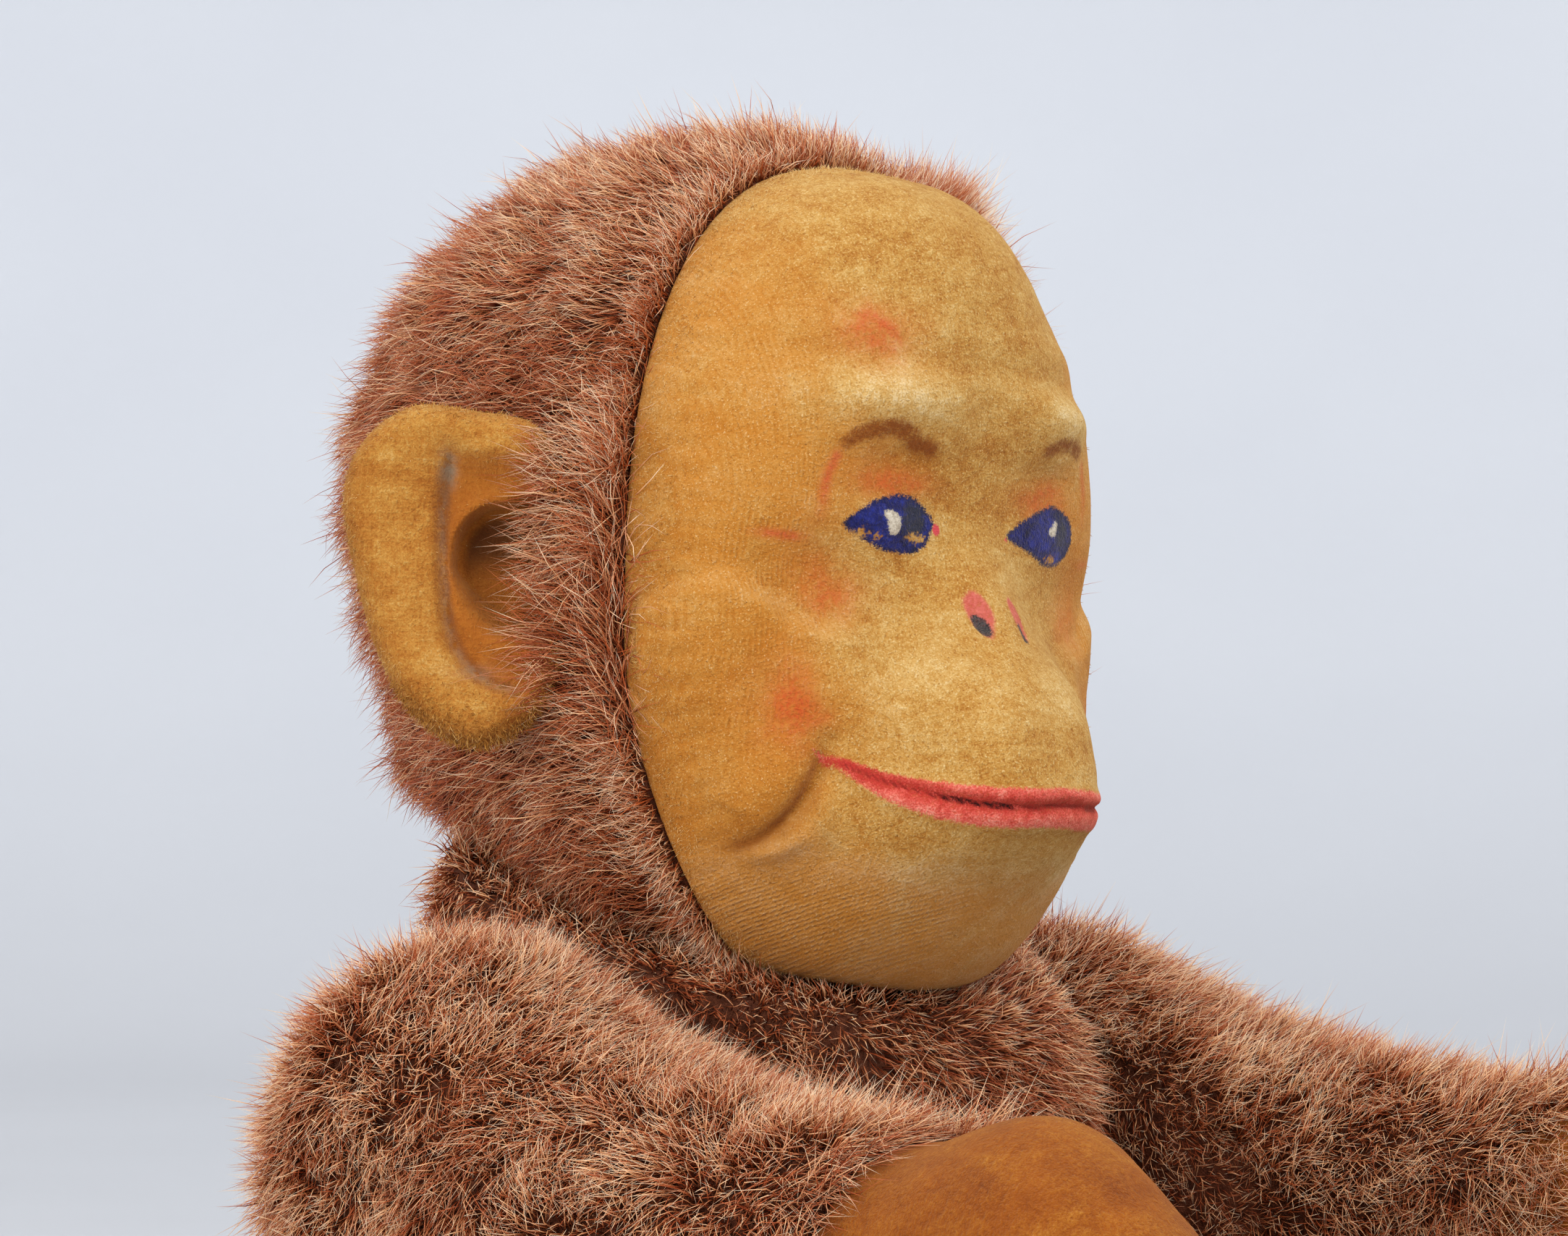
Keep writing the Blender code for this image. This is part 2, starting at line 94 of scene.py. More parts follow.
def through(stations, s):
    k = np.array(stations, float)
    x, v = k[:, 0], k[:, 1:]
    m = np.gradient(v, x, axis=0)
    s = np.clip(np.asarray(s, float), x[0], x[-1])
    i = np.clip(np.searchsorted(x, s, "right") - 1, 0, len(x) - 2)
    h = x[i + 1] - x[i]
    t = ((s - x[i]) / h)[..., None]
    h = h[..., None]
    return (
        (2 * t**3 - 3 * t**2 + 1) * v[i]
        + (t**3 - 2 * t**2 + t) * h * m[i]
        + (-2 * t**3 + 3 * t**2) * v[i + 1]
        + (t**3 - t**2) * h * m[i + 1]
    )


def unit(v):
    return v / np.maximum(np.linalg.norm(v, axis=-1, keepdims=True), 1e-12)


def lattice(i, seed):
    """A steady pseudo-random value in -1..1 for each whole-number lattice point."""
    n = i[..., 0] * 1619 + i[..., 1] * 31337 + i[..., 2] * 6971 + seed * 1013
    n = (n ^ (n >> 13)) & 0x7FFFFFFF
    n = (n * (n * n * 15731 + 789221) + 1376312589) & 0x7FFFFFFF
    return 1.0 - n / 1073741824.0


def vnoise(p, size, seed):
    """Smooth noise in -1..1 with lumps of that size."""
    q = np.asarray(p, float) / size + 1000.0
    i = np.floor(q).astype(np.int64)
    t = q - i
    t = t * t * (3 - 2 * t)
    out = 0.0
    for dx in (0, 1):
        for dy in (0, 1):
            for dz in (0, 1):
                w = (
                    (t[..., 0] if dx else 1 - t[..., 0])
                    * (t[..., 1] if dy else 1 - t[..., 1])
                    * (t[..., 2] if dz else 1 - t[..., 2])
                )
                out = out + w * lattice(i + np.array([dx, dy, dz]), seed)
    return out


def vnoise3(p, size, seed):
    return np.stack([vnoise(p, size, seed + k) for k in range(3)], -1)


def smooth_line(points, closed=False, per=8):
    """Catmull-Rom through the points."""
    p = np.array(points, float)
    n = len(p)
    out = []
    for i in range(n if closed else n - 1):
        a = p[(i - 1) % n] if closed or i > 0 else 2 * p[0] - p[1]
        b, c = p[i], p[(i + 1) % n]
        d = p[(i + 2) % n] if closed or i + 2 < n else 2 * p[-1] - p[-2]
        for t in np.arange(per) / per:
            out.append(
                0.5
                * (2 * b + (c - a) * t + (2 * a - 5 * b + 4 * c - d) * t * t + (3 * b - a - 3 * c + d) * t**3)
            )
    if not closed:
        out.append(p[-1])
    return np.array(out)


def line_distance(x, z, points, closed=False):
    """Distance to a polyline, and how far along it (0..1) the nearest point is."""
    pts = np.asarray(points, float)
    if closed:
        pts = np.vstack([pts, pts[:1]])
    best = np.full(x.shape, 1e9)
    where = np.zeros(x.shape)
    total = np.cumsum(np.r_[0, np.linalg.norm(np.diff(pts, axis=0), axis=1)])
    for k in range(len(pts) - 1):
        a, b = pts[k], pts[k + 1]
        ab = b - a
        l2 = max(float(ab @ ab), 1e-12)
        t = np.clip(((x - a[0]) * ab[0] + (z - a[1]) * ab[1]) / l2, 0, 1)
        d = np.hypot(x - a[0] - t * ab[0], z - a[1] - t * ab[1])
        m = d < best
        best = np.where(m, d, best)
        where = np.where(m, (total[k] + t * math.sqrt(l2)) / total[-1], where)
    return best, where


def inside(x, z, points):
    pts = np.asarray(points, float)
    r = np.zeros(x.shape, bool)
    j = len(pts) - 1
    for i in range(len(pts)):
        (xi, zi), (xj, zj) = pts[i], pts[j]
        if zi != zj:
            r ^= ((zi > z) != (zj > z)) & (x < (xj - xi) * (z - zi) / (zj - zi) + xi)
        j = i
    return r


def shape_distance(x, z, points):
    """Signed distance to a closed smooth outline, negative inside."""
    pts = smooth_line(points, closed=True)
    d, _ = line_distance(x, z, pts, closed=True)
    return np.where(inside(x, z, pts), -d, d)


# ------------------------------------------------------------------ the part's shapes
def outline(phi):
    c, s = np.cos(phi), np.sin(phi)
    n = np.where(s >= 0, 2.25, 2.8)
    b = np.where(s >= 0, FACE_UP, FACE_DOWN)
    return (np.abs(c / FACE_HALF_WIDTH) ** n + np.abs(s / b) ** n) ** (-1.0 / n)


def half_width(z):
    n = np.where(z >= FACE_MID, 2.25, 2.8)
    b = np.where(z >= FACE_MID, FACE_UP, FACE_DOWN)
    t = np.minimum(1.0, np.abs((z - FACE_MID) / b))
    return FACE_HALF_WIDTH * (1.0 - t**n) ** (1.0 / n)


def seam_y(z):
    return SEAM_Y - SEAM_LEAN * step01((-10.0 - z) / 33.0)


def face_y(x, z):
    b = np.where(z >= FACE_MID, FACE_UP, FACE_DOWN)
    t = np.minimum(1.0, np.abs((z - FACE_MID) / b))
    k = through(FACE_PROFILE, z)
    share, n = k[..., 0], k[..., 1]
    mid = 24.3 * share * np.sqrt(1.0 - t ** np.where(z >= FACE_MID, 4.5, 3.0))
    w = np.maximum(half_width(z), 1e-6)
    bow = (0.5 + 0.3 * step01((-24.0 - z) / 16.0)) * 2.0 / n
    depth = mid * np.maximum(0.0, 1.0 - np.abs(x / w) ** n) ** bow
    depth = depth + 11.0 * bump(x, z, 0, -20.8, 13.5, 10.8, 3.2)
    depth = depth + 4.4 * bump(x, z, 0, -7.0, 6.5, 6.0)
    depth = depth + 1.0 * bump(np.abs(x), z, 10, 13.5, 9, 4.5)
    depth = depth - 0.8 * bump(np.abs(x), z, 11, 3.0, 7, 5)
    return seam_y(z) - depth


def onto_neck(p, sign, soft=2.2):
    """As the part, with the edge rounded."""
    centre = NECK_IN_HEAD if sign > 0 else NECK
    u = (p - centre) @ NECK_N * sign - GAP
    v = 0.5 * (u + np.sqrt(u * u + soft * soft))
    return p + NECK_N * (sign * (v - u))[..., None]


def head_back(e, phi):
    """e = 0 at the seam, 1 at the back pole."""
    r = outline(phi)
    start = -math.acos(SEAM_COS)
    beta = start + (math.pi / 2 - start) * e
    cosb = np.maximum(np.cos(beta), 0.0)
    k = np.where(beta > 0, cosb**0.85, cosb) / SEAM_COS * r
    x, z = k * np.cos(phi), FACE_MID + k * np.sin(phi)
    lean = seam_y(FACE_MID + r * np.sin(phi)) - SEAM_Y
    y = BACK_DEPTH * np.sin(beta) + lean * (1 - e) ** 2
    y = y + SEAM_Y + BACK_DEPTH * math.sin(math.acos(SEAM_COS))
    f = 1.0 - 0.13 * step01((14.0 - z) / 38.0) * step01((y - SEAM_Y) / 24.0)
    return np.stack([x * f, SEAM_Y + (y - SEAM_Y) * f, z], -1)


def turn_about(axis, angle):
    k = np.array([[0, -axis[2], axis[1]], [axis[2], 0, -axis[0]], [-axis[1], axis[0], 0]])
    return np.eye(3) + math.sin(angle) * k + (1 - math.cos(angle)) * (k @ k)


HEAD_R = turn_about(NECK_N, HEAD_TURN)


def head_world(p):
    # the forehead's far upper corner has been pressed in
    behind = p[..., 1] - seam_y(p[..., 2])
    dent = bump(p[..., 0], p[..., 2], 19.0, 34.0, 13.0, 14.0) * step01((7.0 - behind) / 7.0)
    p = p - np.stack([0.3 * dent, np.zeros_like(dent), 1.0 * dent], -1)
    return (p + np.array([0, 0, HEAD_Z]) - NECK) @ HEAD_R.T + NECK


class Form:
    def __init__(self, spine, stations, centre_x, dome0, dome1, power, limit, splay=0.0):
        pts = [np.array(p, float) for p in spine]
        s = [0.0]
        for a, b in zip(pts, pts[1:]):
            s.append(s[-1] + float(np.linalg.norm(b - a)))
        self.spine = [(k, p[0], p[1]) for k, p in zip(s, pts)]
        self.length = s[-1]
        self.stations, self.centre_x = stations, centre_x
        self.dome0, self.dome1, self.power, self.limit = dome0, dome1, power, limit
        self.splay = splay

    def along(self, s):
        a = through(self.spine, np.minimum(s + 0.5, self.length))
        b = through(self.spine, np.maximum(s - 0.5, 0.0))
        return unit(a - b)

    def at(self, s, theta, limited=True):
        yz = through(self.spine, s)
        t = self.along(s)
        k = through(self.stations, s)
        w, up, dn = k[..., 0], k[..., 1], k[..., 2]
        p = self.power
        f = np.where(
            s < self.dome0,
            np.maximum(0.0, 1.0 - np.abs(1.0 - s / self.dome0) ** p) ** (1.0 / p),
            1.0,
        )
        q = np.clip((self.length - s) / self.dome1, 0, 1)
        f = np.where(
            s > self.length - self.dome1,
            np.maximum(0.0, 1.0 - (1.0 - q) ** p) ** (1.0 / p),
            f,
        )
        c, n = np.cos(theta), np.sin(theta)
        r = (np.abs(c) ** p + np.abs(n) ** p) ** (-1.0 / p)
        x = self.middle(yz[..., 0]) + w * f * c * r
        h = np.where(n > 0, dn, up) * f * n * r
        out = np.stack([x, yz[..., 0] - h * t[..., 1], yz[..., 1] + h * t[..., 0]], -1)
        return self.limit(out) if limited else out

    def middle(self, y):
        forward = SHOULDER[1] - y
        return self.centre_x + self.splay * 0.5 * (forward + np.hypot(forward, 8.0))

    def ring_s(self, ring, rings):
        return self.length * (1.0 - math.cos(math.pi * ring / rings)) / 2.0


def soft_max(v, low, k):
    u = v - low
    return low + 0.5 * (u + np.sqrt(u * u + k * k))


def soft_min(v, high, k):
    return -soft_max(-v, -high, k)


def torso_limit(p):
    x = np.abs(p[..., 0])
    shoulder = SHOULDER[0] - GAP + np.maximum(0.0, 58.0 - p[..., 2]) * 0.5
    up = np.maximum(0.0, p[..., 2] - HIP[2])
    r = np.where(p[..., 1] > HIP[1], np.hypot(p[..., 1] - HIP[1], p[..., 2] - HIP[2]), up)
    hip = HIP[0] - GAP + np.maximum(0.0, r - 26.0) * 0.9
    x = soft_min(soft_min(x, shoulder, 1.0), hip, 1.0)
    out = np.stack([np.copysign(x, p[..., 0]), p[..., 1], soft_max(p[..., 2], 0.0, 0.8)], -1)
    return onto_neck(out, -1)


def arm_limit(p):
    return np.stack([soft_max(p[..., 0], SHOULDER[0] + GAP, 1.0), p[..., 1], p[..., 2]], -1)


def leg_limit(p):
    return np.stack(
        [soft_max(p[..., 0], HIP[0] + GAP, 1.0), p[..., 1], soft_max(p[..., 2], 0.4, 0.8)], -1
    )


TORSO = Form(
    [(0, -8), (-2, 30), (-5, 60), (-6, 85), (-2, 137)],
    [
        (0, 22, 20, 22),
        (8, 27, 24, 27),
        (33, 33, 31, 35),
        (55, 35.5, 31, 37),
        (75, 36.5, 28, 34),
        (92, 38.5, 27, 29),
        (106, 36.5, 27, 25),
        (120, 32, 27, 23),
        (146, 26, 23, 22),
    ],
    0,
    20,
    22,
    2.2,
    torso_limit,
)
ARM = Form(
    [
        (SHOULDER[1] + 18, SHOULDER[2] + 3),
        (SHOULDER[1], SHOULDER[2]),
        (SHOULDER[1] - 30, SHOULDER[2] - 5.5),
        (SHOULDER[1] - 60, SHOULDER[2] - 9.5),
        (SHOULDER[1] - 84, SHOULDER[2] - 14),
        (SHOULDER[1] - 102, SHOULDER[2] - 28),
    ],
    [
        (0, 18.5, 19.5, 19.5),
        (18, 18.5, 19, 19.5),
        (34.5, 17.8, 14.8, 18),
        (49.5, 16.5, 13.2, 16),
        (78.5, 13.5, 14, 13.5),
        (92.5, 12, 18.5, 13),
        (104.5, 11, 13, 12),
        (116.5, 10, 9.5, 10),
        (127.5, 9.5, 8, 8),
    ],
    46.4,
    17,
    13,
    2.15,
    arm_limit,
    0.16,
)
LEG = Form(
    [
        (18, 22),
        (-4, 22),
        (-34, 19.6),
        (-70, 15.9),
        (-100, 13.8),
        (-114, 15.5),
        (-123, 23),
        (-127.5, 34),
        (-131, 49),
    ],
    [
        (0, 19, 21.5, 21.5),
        (22, 19, 21.5, 21.5),
        (52, 17, 19.5, 19.2),
        (88, 15, 16, 15.5),
        (118, 13.5, 13.5, 13.4),
        (132, 13.5, 11.5, 14.5),
        (146, 13.5, 9.5, 12.5),
        (157, 13.5, 8.5, 10.5),
        (172, 12, 7, 8.5),
    ],
    41.5,
    21,
    12,
    2.2,
    leg_limit,
)
WRIST_S = ARM.ring_s(9, 16)
ANKLE_S = LEG.ring_s(12, 18)


# ------------------------------------------------------------------ meshes
def build_mesh(name, verts, faces, uv=None, attributes=None):
    """verts in mm; faces: a list of (n, k) index arrays; uv: (len(verts), 2)."""
    if uv is None:
        faces = outward(verts, faces)
    me = bpy.data.meshes.new(name)
    verts = np.ascontiguousarray(verts, np.float32) * np.float32(MM)
    me.vertices.add(len(verts))
    me.vertices.foreach_set("co", verts.ravel())
    loops = np.concatenate([np.asarray(f, np.int32).ravel() for f in faces])
    counts = np.concatenate([np.full(len(f), f.shape[1], np.int32) for f in faces])
    me.loops.add(len(loops))
    me.loops.foreach_set("vertex_index", loops)
    me.polygons.add(len(counts))
    starts = np.r_[0, np.cumsum(counts)[:-1]].astype(np.int32)
    me.polygons.foreach_set("loop_start", starts)
    me.polygons.foreach_set("use_smooth", np.ones(len(counts), bool))
    if uv is not None:
        layer = me.uv_layers.new(name="OFBake")
        layer.data.foreach_set("uv", np.ascontiguousarray(uv[loops], np.float32).ravel())
    for key, value in (attributes or {}).items():
        a = me.attributes.new(key, "FLOAT", "POINT")
        a.data.foreach_set("value", np.ascontiguousarray(value, np.float32).ravel())
    me.update(calc_edges=True)
    ob = bpy.data.objects.new(name, me)
    scene.collection.objects.link(ob)
    return ob


def grid_faces(rows, cols, wrap):
    """Quads of a rows x cols grid of points; wrap joins the last column to the first."""
    r, c = np.meshgrid(np.arange(rows - 1), np.arange(cols if wrap else cols - 1), indexing="ij")
    c2 = (c + 1) % cols
    a, b = r * cols + c, r * cols + c2
    return np.stack([a, b, b + cols, a + cols], -1).reshape(-1, 4)


def tube(p):
    """Closed body from a (rows, cols, 3) grid that wraps: a fan closes each end."""
    rows, cols = p.shape[:2]
    v = np.vstack([p.reshape(-1, 3), p[0].mean(0), p[-1].mean(0)])
    c = np.arange(cols)
    c2 = (c + 1) % cols
    n = rows * cols
    last = (rows - 1) * cols
    first_cap = np.stack([c2, c, np.full(cols, n)], -1)
    last_cap = np.stack([last + c, last + c2, np.full(cols, n + 1)], -1)
    return v, [grid_faces(rows, cols, True), first_cap, last_cap]


def grid_normals(p, wrap=True):
    """Unit normals of a (rows, cols, 3) grid."""
    du = np.gradient(p, axis=0)
    if wrap:
        dv = (np.roll(p, -1, 1) - np.roll(p, 1, 1)) / 2
    else:
        dv = np.gradient(p, axis=1)
    return unit(np.cross(du, dv))


def flip(faces):
    return [f[:, ::-1] for f in faces]


def outward(verts, faces):
    """The faces, turned if they enclose a negative volume."""
    volume = 0.0
    for f in faces:
        a = verts[f[:, 0]]
        for k in range(1, f.shape[1] - 1):
            volume += np.einsum("ij,ij->", a, np.cross(verts[f[:, k]], verts[f[:, k + 1]]))
    return faces if volume > 0 else flip(faces)


def mirrored(p):
    return p * np.array([-1.0, 1.0, 1.0])


# ------------------------------------------------------------------ materials
class Shader:
    """A Principled material and short calls for its nodes."""

    def __init__(self, name, **sockets):
        self.mat = bpy.data.materials.new(name)
        self.mat.use_nodes = True
        self.tree = self.mat.node_tree
        self.bsdf = self.tree.nodes["Principled BSDF"]
        for k, v in sockets.items():
            self.set(self.bsdf.inputs[k.replace("_", " ")], v)

    def set(self, socket, value):
        if isinstance(value, bpy.types.NodeSocket):
            self.tree.links.new(value, socket)
        elif isinstance(value, (tuple, list)) and len(value) == 3 and socket.type == "RGBA":
            socket.default_value = (*value, 1.0)
        else:
            socket.default_value = value

    def node(self, kind, **props):
        n = self.tree.nodes.new(kind)
        for k, v in props.items():
            setattr(n, k, v)
        return n

    def math(self, op, a, b=0.0, c=0.0, clamp=False):
        n = self.node("ShaderNodeMath", operation=op, use_clamp=clamp)
        for s, v in zip(n.inputs, (a, b, c)):
            self.set(s, v)
        return n.outputs[0]

    def add(self, *terms):
        out = terms[0]
        for t in terms[1:]:
            out = self.math("ADD", out, t)
        return out

    def scaled(self, value, k, centre=0.5):
        """(value - centre) * k"""
        return self.math("MULTIPLY_ADD", value, k, -centre * k)

    def attr(self, name):
        return self.node("ShaderNodeAttribute", attribute_name=name).outputs["Fac"]

    def place(self):
        return self.node("ShaderNodeTexCoord").outputs["Object"]

    def noise(self, scale, detail=3.0, rough=0.55, vector=None, distortion=0.0, squash=None):
        n = self.node("ShaderNodeTexNoise")
        v = vector or self.place()
        if squash:
            m = self.node("ShaderNodeMapping")
            self.set(m.inputs["Vector"], v)
            m.inputs["Scale"].default_value = squash
            v = m.outputs[0]
        self.set(n.inputs["Vector"], v)
        for k, x in (("Scale", scale), ("Detail", detail), ("Roughness", rough), ("Distortion", distortion)):
            n.inputs[k].default_value = x
        return n.outputs["Fac"]

    def voronoi(self, scale, vector=None, output="Distance"):
        n = self.node("ShaderNodeTexVoronoi")
        self.set(n.inputs["Vector"], vector or self.place())
        n.inputs["Scale"].default_value = scale
        return n.outputs[output]

    def ramp(self, fac, stops, mode="LINEAR"):
        n = self.node("ShaderNodeValToRGB")
        n.color_ramp.interpolation = mode
        e = n.color_ramp.elements
        while len(e) > 1:
            e.remove(e[-1])
        e[0].position, e[0].color = stops[0][0], (*stops[0][1], 1)
        for pos, col in stops[1:]:
            e.new(pos).color = (*col, 1)
        self.set(n.inputs[0], fac)
        return n.outputs[0]

    def mix(self, fac, a, b, mode="MIX"):
        n = self.node("ShaderNodeMix", data_type="RGBA", blend_type=mode, clamp_factor=True)
        self.set(n.inputs[0], fac)
        self.set(n.inputs[6], a)
        self.set(n.inputs[7], b)
        return n.outputs[2]

    def range(self, value, a, b, c=0.0, d=1.0):
        """Smoothly from c at a to d at b."""
        n = self.node("ShaderNodeMapRange", interpolation_type="SMOOTHSTEP", clamp=True)
        for s, v in zip(n.inputs, (value, a, b, c, d)):
            self.set(s, v)
        return n.outputs[0]

    def wave(self, value, period):
        """sin(2 pi value / period), as 0..1"""
        v = self.math("SINE", self.math("MULTIPLY", value, 2 * math.pi / period))
        return self.math("MULTIPLY_ADD", v, 0.5, 0.5)

    def bump(self, height, distance, strength=1.0, normal=None):
        n = self.node("ShaderNodeBump")
        n.inputs["Strength"].default_value = strength
        n.inputs["Distance"].default_value = distance
        self.set(n.inputs["Height"], height)
        if normal is not None:
            self.set(n.inputs["Normal"], normal)
        return n.outputs[0]

    def finish(self, colour=None, normal=None, roughness=None):
        if colour is not None:
            self.set(self.bsdf.inputs["Base Color"], colour)
        if normal is not None:
            self.set(self.bsdf.inputs["Normal"], normal)
        if roughness is not None:
            self.set(self.bsdf.inputs["Roughness"], roughness)
        return self.mat


def srgb(r, g, b):
    def f(c):
        c /= 255.0
        return c / 12.92 if c <= 0.04045 else ((c + 0.055) / 1.055) ** 2.4

    return (f(r), f(g), f(b))


VELVET_STOPS = [
    (0.0, srgb(132, 72, 20)),
    (0.3, srgb(170, 110, 40)),
    (0.55, srgb(193, 144, 70)),
    (0.8, srgb(209, 170, 104)),
    (1.0, srgb(226, 198, 146)),
]
HAND_STOPS = [
    (0.0, srgb(92, 36, 8)),
    (0.3, srgb(121, 55, 11)),
    (0.55, srgb(144, 75, 17)),
    (0.8, srgb(168, 101, 30)),
    (1.0, srgb(192, 133, 56)),
]


def velvet_base(s, tone, ribs_on, rows_on):
    """Velvet's colour and bump height: mottled pile, fine grain and the weave's ribs."""
    blotch = s.noise(150, 5, 0.6, distortion=0.6)
    patch = s.noise(620, 4, 0.62)
    nap = s.noise(210, 4, 0.6, squash=(0.45, 0.45, 1.5), distortion=0.8)
    tuft = s.noise(1900, 3, 0.6)
    grain = s.noise(5200, 3, 0.65)
    wander = s.scaled(s.noise(200, 2, 0.5), 0.7)
    ribs = s.wave(s.add(s.attr("rib_u"), wander), 0.5)
    rows = s.wave(s.add(s.attr("rib_v"), wander), 0.48)
    broken = s.range(s.noise(420, 3, 0.6), 0.38, 0.68)
    ribs = s.math("MULTIPLY", s.math("MULTIPLY", s.scaled(ribs, 1.0), ribs_on), broken)
    across = s.wave(s.add(s.attr("rib_u"), s.scaled(tuft, 0.5)), 0.42)
    dots = s.math("MULTIPLY", rows, s.range(across, 0.0, 1.0, 0.45, 1.0))
    rows = s.math("MULTIPLY", s.scaled(dots, 1.0, 0.4), rows_on)
    rows = s.math("MULTIPLY", rows, s.range(tuft, 0.3, 0.6, 0.3, 1.0))
    value = s.add(
        tone,
        s.scaled(blotch, 0.54),
        s.scaled(nap, 0.58),
        s.scaled(patch, 0.50),
        s.scaled(tuft, 0.62),
        s.scaled(grain, 1.0),
        s.math("MULTIPLY", ribs, 0.22),
        s.math("MULTIPLY", rows, 0.20),
    )
    height = s.add(
        s.math("MULTIPLY", grain, 0.75),
        s.math("MULTIPLY", tuft, 1.1),
        s.math("MULTIPLY", patch, 0.9),
        s.math("MULTIPLY", ribs, 0.30),
        s.math("MULTIPLY", rows, 0.35),
    )
    return value, height, grain


def velvet_shader(name, stops=VELVET_STOPS, warm_to=(178, 100, 30)):
    """For ears, hands and feet: reads the attributes tone, warm, rib_u and rib_v, and the darkening of the ears'
    creases and edges (painted shade) and of the stitch lines on hands and feet.
    """
    s = Shader(name, Roughness=0.92, Sheen_Weight=0.16, Sheen_Roughness=0.45)
    s.bsdf.inputs["Specular IOR Level"].default_value = 0.12
    s.bsdf.inputs["Sheen Tint"].default_value = (*srgb(240, 214, 160), 1)
    value, height, grain = velvet_base(s, s.attr("tone"), 0.30, 0.34)
    colour = s.ramp(value, stops)
    warm = s.math("ADD", s.attr("warm"), s.scaled(s.noise(230, 3, 0.6), 0.7))
    colour = s.mix(s.math("MULTIPLY", s.range(warm, 0.1, 0.9), 0.6), colour, srgb(*warm_to))
    # Darker in the ears' creases and along their edges, which is painted shade, and along the stitch lines of hands and
    # feet.
    shade_and_stitches = s.attr("shade_and_stitches")
    speck = s.noise(900, 4, 0.7)
    colour = s.mix(
        s.math("MULTIPLY", shade_and_stitches, s.range(speck, 0.25, 0.7), clamp=True), colour, srgb(120, 78, 46)
    )
    worn = s.math("MULTIPLY", s.attr("worn"), s.range(speck, 0.3, 0.6), clamp=True)
    colour = s.mix(worn, colour, srgb(172, 152, 126))
    # Painted shade: the ears' hollows made dark.
    deep = s.attr("deep")
    colour = s.mix(s.math("MULTIPLY", deep, 0.85, clamp=True), colour, srgb(62, 30, 14))
    return s.finish(colour, s.bump(height, 0.00036, 0.9))


